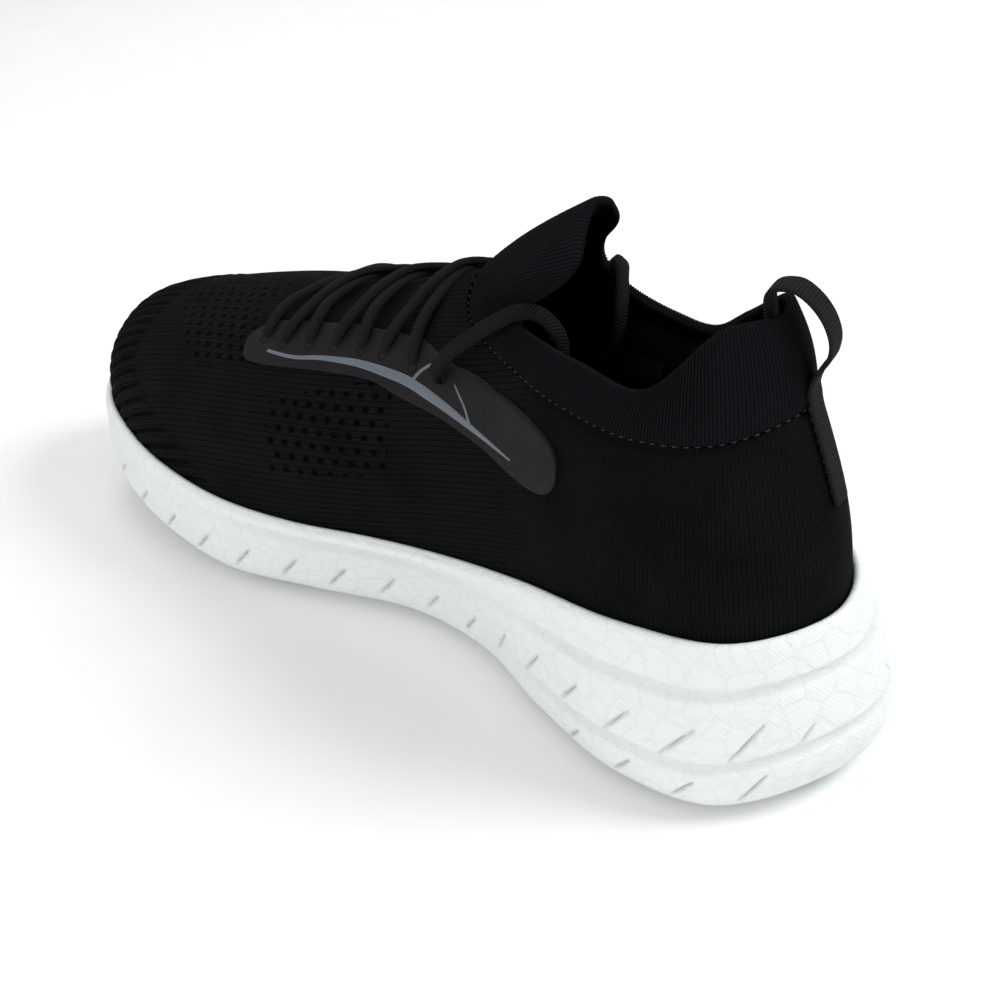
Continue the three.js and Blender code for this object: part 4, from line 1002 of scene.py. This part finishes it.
liner_grid = np.stack(rows)
liner_mm = np.stack([wide(liner_grid[..., 0]), wide(liner_grid[..., 1])], axis=-1)
liner = grid_piece("sockliner_cloth", liner_grid, lining_finish, wraps=True, mm={"mm": liner_mm})
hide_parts("sockliner")

# %% Plain patch inside the collar
label_finish, tree, shader = new_finish("label_cloth", (0.05, 0.06, 0.068), 0.7)
along, across = map_parts(tree, "mm")
net = use_group(tree, braid, Girth=across, Length=along, Strand=0.7)
# painted shade: the low points of the weave are darker than its crowns
shade_between(tree, shader, (0.004, 0.0048, 0.0055), (0.011, 0.013, 0.0145), net["Height"])
add_bump(tree, shader, net["Height"], 0.1)
shares, rises = np.meshgrid(np.linspace(0.648, 0.688, 24), np.linspace(0.6, 0.9, 24))
label = on_upper(shares, rises, -8.9)
label_mm = np.stack([shares * 700, rises * 60], axis=-1)
patch = grid_piece("plain_patch", label, label_finish, mm={"mm": label_mm}, flip=True)
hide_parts("size_label")

# %% [markdown]
# ## Film beside the eyelets
# A thin film is heat-pressed over each row of eyelets, so the knit does not tear at the holes. It
# narrows to a blunt tip in front and ends in a rounded tab at the ankle. Its edge is thin but has
# thickness, and each eyelet is a small punched hole with a pressed rim.

# %% Film material
film_finish, tree, shader = new_finish("pressed_film", (0.03, 0.027, 0.029), 0.62, Specular_IOR_Level=0.08)
coords = place_node(tree, "ShaderNodeTexCoord").outputs["Object"]
grainy = place_node(tree, "ShaderNodeTexNoise", Vector=coords, Scale=1500.0, Detail=3.0).outputs[0]
cloudy = place_node(tree, "ShaderNodeTexNoise", Vector=coords, Scale=70.0, Detail=2.0).outputs[0]
along, across = map_parts(tree, "mm")
ghost = use_group(tree, ribs, Across=across, Pitch=1.45)
shade_between(tree, shader, (0.009, 0.0078, 0.0085), (0.0155, 0.0135, 0.0148), math_node(
    tree, "MULTIPLY", cloudy, math_node(tree, "ADD", 0.8, math_node(tree, "MULTIPLY", grainy, 0.6)),
    clamp=True))
tree.links.new(soft_step(tree, grainy, 0.3, 0.7, 0.5, 0.68), shader.inputs["Roughness"])
add_bump(tree, shader, math_node(tree, "ADD", grainy, math_node(
    tree, "MULTIPLY", ghost["Height"], 0.35)), 0.12)

# %% Film outline, laid on the knit
FILM_TOP = [[196.5, 76], [187, 81], [165, 86], [151, 89], [125, 93.5], [114, 93], [98, 93], [82, 92],
            [65, 90]]
FILM_LOW = [[194, 72.5], [188, 72.5], [161, 77.5], [139, 81], [125, 80], [108, 78.5], [93, 76.5], [78, 73.5],
            [66, 73]]
FILM_UNDER, FILM_OVER = 0.15, 0.75
film_lines = {side: [np.array([side_spot(side, point) for point in line]) for line in (FILM_LOW, FILM_TOP)]
              for side in (MEDIAL, LATERAL)}


def film_spot(side, along, part):
    low, top = (open_line(line, along) for line in film_lines[side])
    return blend(low, top, np.asarray(part)[..., None])


def film_sheet(side, name):
    along = np.concatenate([np.linspace(0, 0.9, 90)[:-1], 0.9 + 0.1 * np.sin(np.linspace(0, np.pi / 2, 24))])
    part = np.linspace(0, 1, 26)
    grid_along, grid_part = np.meshgrid(along, part)
    round_end = np.sqrt(np.clip(1 - np.clip((grid_along - 0.9) / 0.1, 0, 1) ** 2, 0.0004, 1))
    round_tip = np.sqrt(np.clip(1 - np.clip((0.03 - grid_along) / 0.03, 0, 1) ** 2, 0.25, 1))
    squeezed = 0.5 + (grid_part - 0.5) * round_end * round_tip
    spots = film_spot(side, grid_along, squeezed)
    edge = np.minimum.reduce([grid_part, 1 - grid_part]) * 8
    lift = blend(FILM_UNDER, FILM_OVER, smooth(edge, 0, 0.25))
    top = on_upper(spots[..., 0], spots[..., 1], lift)
    low_first = on_upper(spots[:1, :, 0], spots[:1, :, 1], np.full_like(lift[:1], -0.3))
    low_last = on_upper(spots[-1:, :, 0], spots[-1:, :, 1], np.full_like(lift[:1], -0.3))
    grid = np.concatenate([low_first, top, low_last])
    mm = np.stack(np.broadcast_arrays(grid[..., 0], grid[..., 2]), axis=-1)
    sheet = grid_piece(f"eyelet_film_sheet_{name}", grid, film_finish, mm={"mm": mm}, flip=side == LATERAL)
    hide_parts(f"eyelet_film_{name}")
    return sheet


for side, name in ((MEDIAL, "medial"), (LATERAL, "lateral")):
    film_sheet(side, name)

# %% Eyelet holes with a pressed rim
eyelet_finish, tree, shader = new_finish("eyelet_rim", (0.012, 0.011, 0.012), 0.7, Specular_IOR_Level=0.05)
coords = place_node(tree, "ShaderNodeTexCoord").outputs["Object"]
rub = place_node(tree, "ShaderNodeTexNoise", Vector=coords, Scale=800.0).outputs[0]
shade_between(tree, shader, (0.004, 0.004, 0.004), (0.014, 0.0125, 0.013), rub)
RIM_SECTION = [(0.02, 0.4), (1.0, 0.4), (1.3, 0.55), (1.5, 0.84), (1.75, 0.9), (2.0, 0.82), (2.15, 0.6)]
for side, name in ((MEDIAL, "medial"), (LATERAL, "lateral")):
    points, faces = [], []
    for spot in eyelet_spots[side]:
        normal = upper_normal(*spot)
        first = np.cross(normal, [0.0, 0.0, 1.0])
        first /= np.linalg.norm(first)
        second = np.cross(normal, first)
        angle = np.linspace(0, 2 * np.pi, 28, endpoint=False)[None, :, None]
        radius = np.array([r for r, _ in RIM_SECTION])[:, None, None]
        lift = np.array([h for _, h in RIM_SECTION])[:, None, None]
        ring = upper_point(*spot) + radius * (np.cos(angle) * first + np.sin(angle) * second) + lift * normal
        faces.append(grid_faces(len(RIM_SECTION), 28, True, first=len(points) * 28 * len(RIM_SECTION))[0])
        points.append(ring.reshape(-1, 3))
    rims = build_piece(f"eyelets_{name}", np.concatenate(points), np.concatenate(faces), eyelet_finish)

# %% [markdown]
# ## Reflective lines
# A pale stripe is printed on the film. It starts as a hair line in front, swells and tapers away along
# the tab. Two thinner lines leave it: an arc round the last eyelet but one, and a spur below the last.

# %% Stripe material
stripe_finish, tree, shader = new_finish("reflective_print", (0.17, 0.2, 0.24), 0.42, Metallic=0.15)
coords = place_node(tree, "ShaderNodeTexCoord").outputs["Object"]
beads = place_node(tree, "ShaderNodeTexNoise", Vector=coords, Scale=2600.0, Detail=1.0).outputs[0]
shade_between(tree, shader, (0.065, 0.08, 0.098), (0.15, 0.175, 0.205), beads)
add_bump(tree, shader, beads, 0.04)

# %% Lay the printed lines on the film
STRIPE = [[184, 75.8], [172, 77.4], [160, 80.2], [145, 83], [132, 84.3], [122, 84.5], [111, 82.8], [98, 80.8],
          [82, 78.6]]
STRIPE_WIDTH = [0.9, 1.1, 1.4, 2.0, 2.6, 2.9, 2.3, 1.3, 0.5]
ARC = [[122, 85.4], [119.6, 88.2], [116, 90.6], [111.5, 92.4]]
SPUR = [[106.4, 88.6], [103.8, 86.6], [101.4, 84.6], [99, 81.6]]


def printed_line(side, name, places, widths, node=None):
    spots = even_path([side_spot(side, place) for place in places], 90)
    middle = on_upper(spots[:, 0], spots[:, 1], np.full(90, FILM_OVER + 0.12))
    normal = upper_normal(spots[:, 0], spots[:, 1])
    ahead = np.gradient(middle, axis=0)
    across = np.cross(normal, ahead)
    across /= np.linalg.norm(across, axis=-1, keepdims=True)
    wide_here = np.interp(np.linspace(0, 1, 90), np.linspace(0, 1, len(widths)), widths)[:, None] / 2
    strip = np.stack([middle - across * wide_here * k - normal * d
                      for k, d in ((1.0, 0.3), (1.0, 0.02), (0.4, 0.0), (-0.4, 0.0), (-1.0, 0.02),
                                   (-1.0, 0.3))])
    line = grid_piece(f"{name}", strip, stripe_finish, flip=True)
    if node:
        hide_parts(node)


for side, name in ((MEDIAL, "medial"), (LATERAL, "lateral")):
    printed_line(side, f"stripe_{name}", STRIPE, STRIPE_WIDTH, f"reflective_stripe_{name}")
    printed_line(side, f"stripe_arc_{name}", ARC, [1.0, 0.9, 0.8, 0.6])
    printed_line(side, f"stripe_spur_{name}", SPUR, [0.5, 0.6, 0.7, 0.8])

# %% [markdown]
# ## The laced rows
# The lace crosses the instep seven times. Each crossing rises out of one eyelet, lies flat on the film,
# arches over the instep and dives into the eyelet on the other side, one row further back or forward.
# Pairs of crossings meet at the ridge, one under and one over the other.

# %% Crossings of the lace
CROSSINGS = [(MEDIAL, 6, LATERAL, 5, False), (LATERAL, 4, MEDIAL, 3, True), (MEDIAL, 2, LATERAL, 1, False),
             (LATERAL, 0, MEDIAL, 0, False), (MEDIAL, 1, LATERAL, 2, True), (LATERAL, 3, MEDIAL, 4, False),
             (MEDIAL, 5, LATERAL, 6, True)]
ON_FILM = FILM_OVER + 0.15 + LACE_THICKNESS / 2
RIDGE_OVER, RIDGE_UNDER = 1.6, -0.4


def crossing_path(from_side, from_row, to_side, to_row, over):
    start, end = eyelet_point(from_side, from_row, 0.0), eyelet_point(to_side, to_row, 0.0)
    shares = [0.0, 0.03, 0.1, 0.2, 0.34, 0.5, 0.66, 0.8, 0.9, 0.97, 1.0]
    top = RIDGE_OVER if over else RIDGE_UNDER
    heights = [-1.2, ON_FILM - 0.6, ON_FILM + 0.1, ON_FILM - 0.1, blend(ON_FILM, top, 0.75), top]
    heights += heights[-2::-1]
    path, facing = [], []
    for share, height in zip(shares, heights):
        spot = blend(start, end, share)
        side = MEDIAL if spot[1] >= 0 else LATERAL
        place = find_spot(side, [0, 1], spot[:2])
        path.append(on_upper(*place, height))
        facing.append(upper_normal(*place))
    return np.array(path), np.array(facing)


for index, crossing in enumerate(CROSSINGS):
    stations, facing = crossing_path(*crossing)
    both = open_line(np.concatenate([stations, facing], axis=1), np.linspace(0, 1, 110))
    end_part = np.minimum(np.linspace(0, 1, 110), np.linspace(1, 0, 110))
    narrow = 0.78 + 0.22 * smooth(end_part, 0.02, 0.16)
    flat_cord(f"lace_row_{index + 1}", both[:, :3], both[:, 3:],
                                 LACE_WIDTH, LACE_THICKNESS,
                                 lace_finish, taper=narrow)
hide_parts("lace")

# %% [markdown]
# ## Pull loop
# A ribbed tape is sewn down the back of the heel, stands off in a loop and ends inside the collar. It
# is a wide thin sweep with fine cross ribs.

# %% Tape material
tape_finish, tree, shader = new_finish("ribbed_tape", (0.016, 0.014, 0.013), 0.88, Specular_IOR_Level=0.06)
girth, length = map_parts(tree, "mm")
cross_ribs = use_group(tree, ribs, Across=length, Pitch=0.85)
twill = use_group(tree, braid, Girth=girth, Length=length, Strand=1.1)
fibres = use_group(tree, fuzz)
# painted shade: the grooves between the cross ribs are darkened; the fibre patches add uneven tone
tone = math_node(tree, "MULTIPLY", math_node(tree, "SUBTRACT", 1.0, math_node(
    tree, "MULTIPLY", cross_ribs["Groove"], 0.8)), math_node(tree, "ADD", 0.55, fibres["Patch"]), clamp=True)
shade_between(tree, shader, (0.003, 0.0026, 0.0026), (0.0165, 0.0145, 0.014), tone)
add_bump(tree, shader, math_node(tree, "ADD", cross_ribs["Height"], math_node(
    tree, "MULTIPLY", twill["Height"], 0.5)), 0.3)

# %% Route of the tape
LOOP_WIDTH, LOOP_THICKNESS, LOOP_SHARE = 6.8, 1.1, 0.506
LOOP_FREE = [[2, 108.8], [4.5, 112.6], [5.2, 117], [3.6, 122], [0.2, 126.2], [-4, 128.2], [-9, 126]]
level = outward(lambda s: closed_line(COLLAR_EDGE, s), np.array(LOOP_SHARE))
across_tape = np.cross([0.0, 0.0, 1.0], level)
root = upper_point(LOOP_SHARE, 1.0) * [1, 1, 0]


def flat_on_heel(rise, stand_off):
    point = on_upper(LOOP_SHARE, rise, stand_off)
    out = float(np.dot(point - root, level))
    return root + level * out + [0, 0, point[2]]


sewn = [flat_on_heel(rise, 0.75) for rise in (0.58, 0.68, 0.78, 0.88, 0.98, 1.1, 1.22)]
free = [root + level * out + [0, 0, height] for out, height in LOOP_FREE]
tucked = [flat_on_heel(rise, -(CUFF + 2.9)) for rise in (1.8, 1.6, 1.4)]
tape_path = even_path(sewn + free + tucked, 240)
tape_facing = np.cross(np.gradient(tape_path, axis=0), across_tape)
tape_facing /= np.linalg.norm(tape_facing, axis=-1, keepdims=True)
tape = flat_cord("pull_tape", tape_path, tape_facing, LOOP_WIDTH, LOOP_THICKNESS, tape_finish, power=0.45)
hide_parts("pull_loop")
print("tape length", round(float(lengths_along(tape_path)[-1])), "mm")

# %% [markdown]
# ## Stitches
# A broken light thread shows along the collar seam. Each stitch is a short rounded bar that dips into
# the cloth at both ends. The tape is held by rows of dark stitches down its edges.

# %% Stitch builder
thread_finish, tree, shader = new_finish("thread_grey", (0.16, 0.17, 0.18), 0.7)
coords = place_node(tree, "ShaderNodeTexCoord").outputs["Object"]
twist = place_node(tree, "ShaderNodeTexNoise", Vector=coords, Scale=3000.0).outputs[0]
shade_between(tree, shader, (0.010, 0.011, 0.012), (0.034, 0.036, 0.039), twist)
dark_thread, tree, shader = new_finish("thread_dark", (0.03, 0.028, 0.027), 0.7)
coords = place_node(tree, "ShaderNodeTexCoord").outputs["Object"]
twist = place_node(tree, "ShaderNodeTexNoise", Vector=coords, Scale=3000.0).outputs[0]
shade_between(tree, shader, (0.006, 0.0055, 0.005), (0.025, 0.023, 0.022), twist)


def stitches(name, line, normals, pitch, length, radius, finish):
    run = lengths_along(line)
    starts = np.arange(pitch / 2, run[-1] - length, pitch)
    points, faces, sides, rings = [], [], 6, 7
    for index, start in enumerate(starts):
        spots = start + np.linspace(0, length, rings)
        middle = np.stack([np.interp(spots, run, line[:, k]) for k in range(3)], axis=-1)
        face = np.stack([np.interp(spots, run, normals[:, k]) for k in range(3)], axis=-1)
        arch = np.sin(np.linspace(0, np.pi, rings))
        middle = middle + face * (arch * radius * 1.5 - radius * 0.8)[:, None]
        ahead = (middle[-1] - middle[0]) / np.linalg.norm(middle[-1] - middle[0])
        across = np.cross(face, ahead)
        angle = np.linspace(0, 2 * np.pi, sides, endpoint=False)
        size = (radius * (0.35 + 0.65 * arch))[:, None, None]
        ring = middle[:, None] + size * (np.cos(angle)[None, :, None] * across[:, None]
                                         + np.sin(angle)[None, :, None] * face[:, None])
        points.append(ring.reshape(-1, 3))
        faces.append(grid_faces(rings, sides, True, first=index * rings * sides)[0])
    piece = build_piece(name, np.concatenate(points), np.concatenate(faces), finish)
    return piece


seam_share = np.linspace(0.06, 0.94, 900)
stitches("seam_thread", on_upper(seam_share, 1.012, np.full(900, -0.15)), upper_normal(seam_share, 1.012),
         2.6, 1.3, 0.13, thread_finish)
for side in (1, -1):
    edge_line = tape_path[4:120] + across_tape * (side * 2.6)
    held = edge_line[:, 2] < 104
    facing = tape_facing[4:120][held]
    stitches(f"tape_thread_{'left' if side > 0 else 'right'}", edge_line[held] + facing * 0.62, facing,
             2.6, 1.9, 0.14, dark_thread)

# %% [markdown]
# ## Rubber underneath
# Thin rubber pods take the wear under the forefoot and heel. They keep the shapes of the fixed frame
# and get finishes of their own: black rubber with a fine grain, and a frosted clear lug at the heel.

# %% Rubber and hidden stiff parts
rubber_finish, tree, shader = new_finish("black_rubber", (0.022, 0.022, 0.023), 0.62)
coords = place_node(tree, "ShaderNodeTexCoord").outputs["Object"]
grainy = place_node(tree, "ShaderNodeTexNoise", Vector=coords, Scale=1400.0, Detail=3.0).outputs[0]
waves = place_node(tree, "ShaderNodeTexWave", {"bands_direction": "Y"}, Vector=coords,
                   Scale=70.0).outputs["Fac"]
tree.links.new(soft_step(tree, grainy, 0.3, 0.7, 0.5, 0.75), shader.inputs["Roughness"])
shade_between(tree, shader, (0.014, 0.014, 0.015), (0.035, 0.035, 0.036), grainy)
add_bump(tree, shader, math_node(tree, "ADD", waves, math_node(tree, "MULTIPLY", grainy, 0.2)), 0.5)

clear_finish, tree, shader = new_finish("frosted_rubber", (0.62, 0.76, 0.68), 0.35, Subsurface_Weight=0.3,
                                        Subsurface_Scale=0.004)
coords = place_node(tree, "ShaderNodeTexCoord").outputs["Object"]
frost = place_node(tree, "ShaderNodeTexNoise", Vector=coords, Scale=700.0, Detail=2.0).outputs[0]
shade_between(tree, shader, (0.5, 0.66, 0.57), (0.72, 0.84, 0.77), frost)
add_bump(tree, shader, frost, 0.1)

board_finish, tree, shader = new_finish("fibre_board", (0.3, 0.29, 0.27), 0.9)
coords = place_node(tree, "ShaderNodeTexCoord").outputs["Object"]
fibre = place_node(tree, "ShaderNodeTexNoise", Vector=coords, Scale=600.0, Detail=4.0).outputs[0]
shade_between(tree, shader, (0.22, 0.21, 0.2), (0.36, 0.35, 0.33), fibre)
add_bump(tree, shader, fibre, 0.2)


def refinish(node_names, material):
    for node_name in node_names:
        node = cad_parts[node_name]
        node.data.materials.clear()
        node.data.materials.append(material)


refinish(["outsole_toe", "outsole_forefoot_medial", "outsole_forefoot_lateral", "outsole_heel_medial",
          "outsole_heel_lateral", "midfoot_shank", "heel_counter", "toe_puff"], rubber_finish)
refinish(["heel_lug"], clear_finish)
refinish(["strobel_board", "collar_foam_medial", "collar_foam_lateral"], board_finish)

# %% [markdown]
# ## Floor and light
# A pale floor and large soft lights leave only a gentle shadow round the sole. Black cloth needs a
# strong, wide light from the side to show its relief, while the white foam must not burn out, so the
# main light is broad and the fill comes from the sky all round.

# %% Floor
floor_mesh = bpy.data.meshes.new("studio_floor")
floor_mesh.from_pydata([(-4, -4, 0), (4, -4, 0), (4, 4, 0), (-4, 4, 0)], [], [(0, 1, 2, 3)])
floor = bpy.data.objects.new("studio_floor", floor_mesh)
bpy.context.scene.collection.objects.link(floor)
floor_finish, tree, shader = new_finish("pale_paper", (0.92, 0.92, 0.92), 0.9)
coords = place_node(tree, "ShaderNodeTexCoord").outputs["Object"]
paper = place_node(tree, "ShaderNodeTexNoise", Vector=coords, Scale=40.0, Detail=3.0).outputs[0]
shade_between(tree, shader, (0.90, 0.90, 0.90), (0.94, 0.94, 0.94), paper)
floor_mesh.materials.append(floor_finish)

# %% Lights
world = bpy.data.worlds.new("soft_sky")
bpy.context.scene.world = world
world.use_nodes = True
world.node_tree.nodes["Background"].inputs[0].default_value = (1.0, 1.0, 1.0, 1)
world.node_tree.nodes["Background"].inputs[1].default_value = 0.55
bpy.context.scene.view_settings.view_transform = "Standard"


def soft_light(name, spot, aim, size, power):
    lamp = bpy.data.lights.new(name, "AREA")
    lamp.shape = "DISK"
    lamp.size = size
    lamp.energy = power
    holder = bpy.data.objects.new(name, lamp)
    bpy.context.scene.collection.objects.link(holder)
    holder.location = spot
    holder.rotation_euler = (Vector(aim) - Vector(spot)).to_track_quat("-Z", "Y").to_euler()


soft_light("key", (-0.75, -0.55, 0.95), (0, 0, 0.05), 0.6, 10)
soft_light("side", (-0.3, 1.2, 0.7), (0, 0, 0.05), 0.7, 7)
soft_light("rim", (0.6, -0.3, 0.8), (0, 0, 0.08), 0.5, 2)

# %% [markdown]
# ## Update the scene

# %% Update the view layer
bpy.context.view_layer.update()
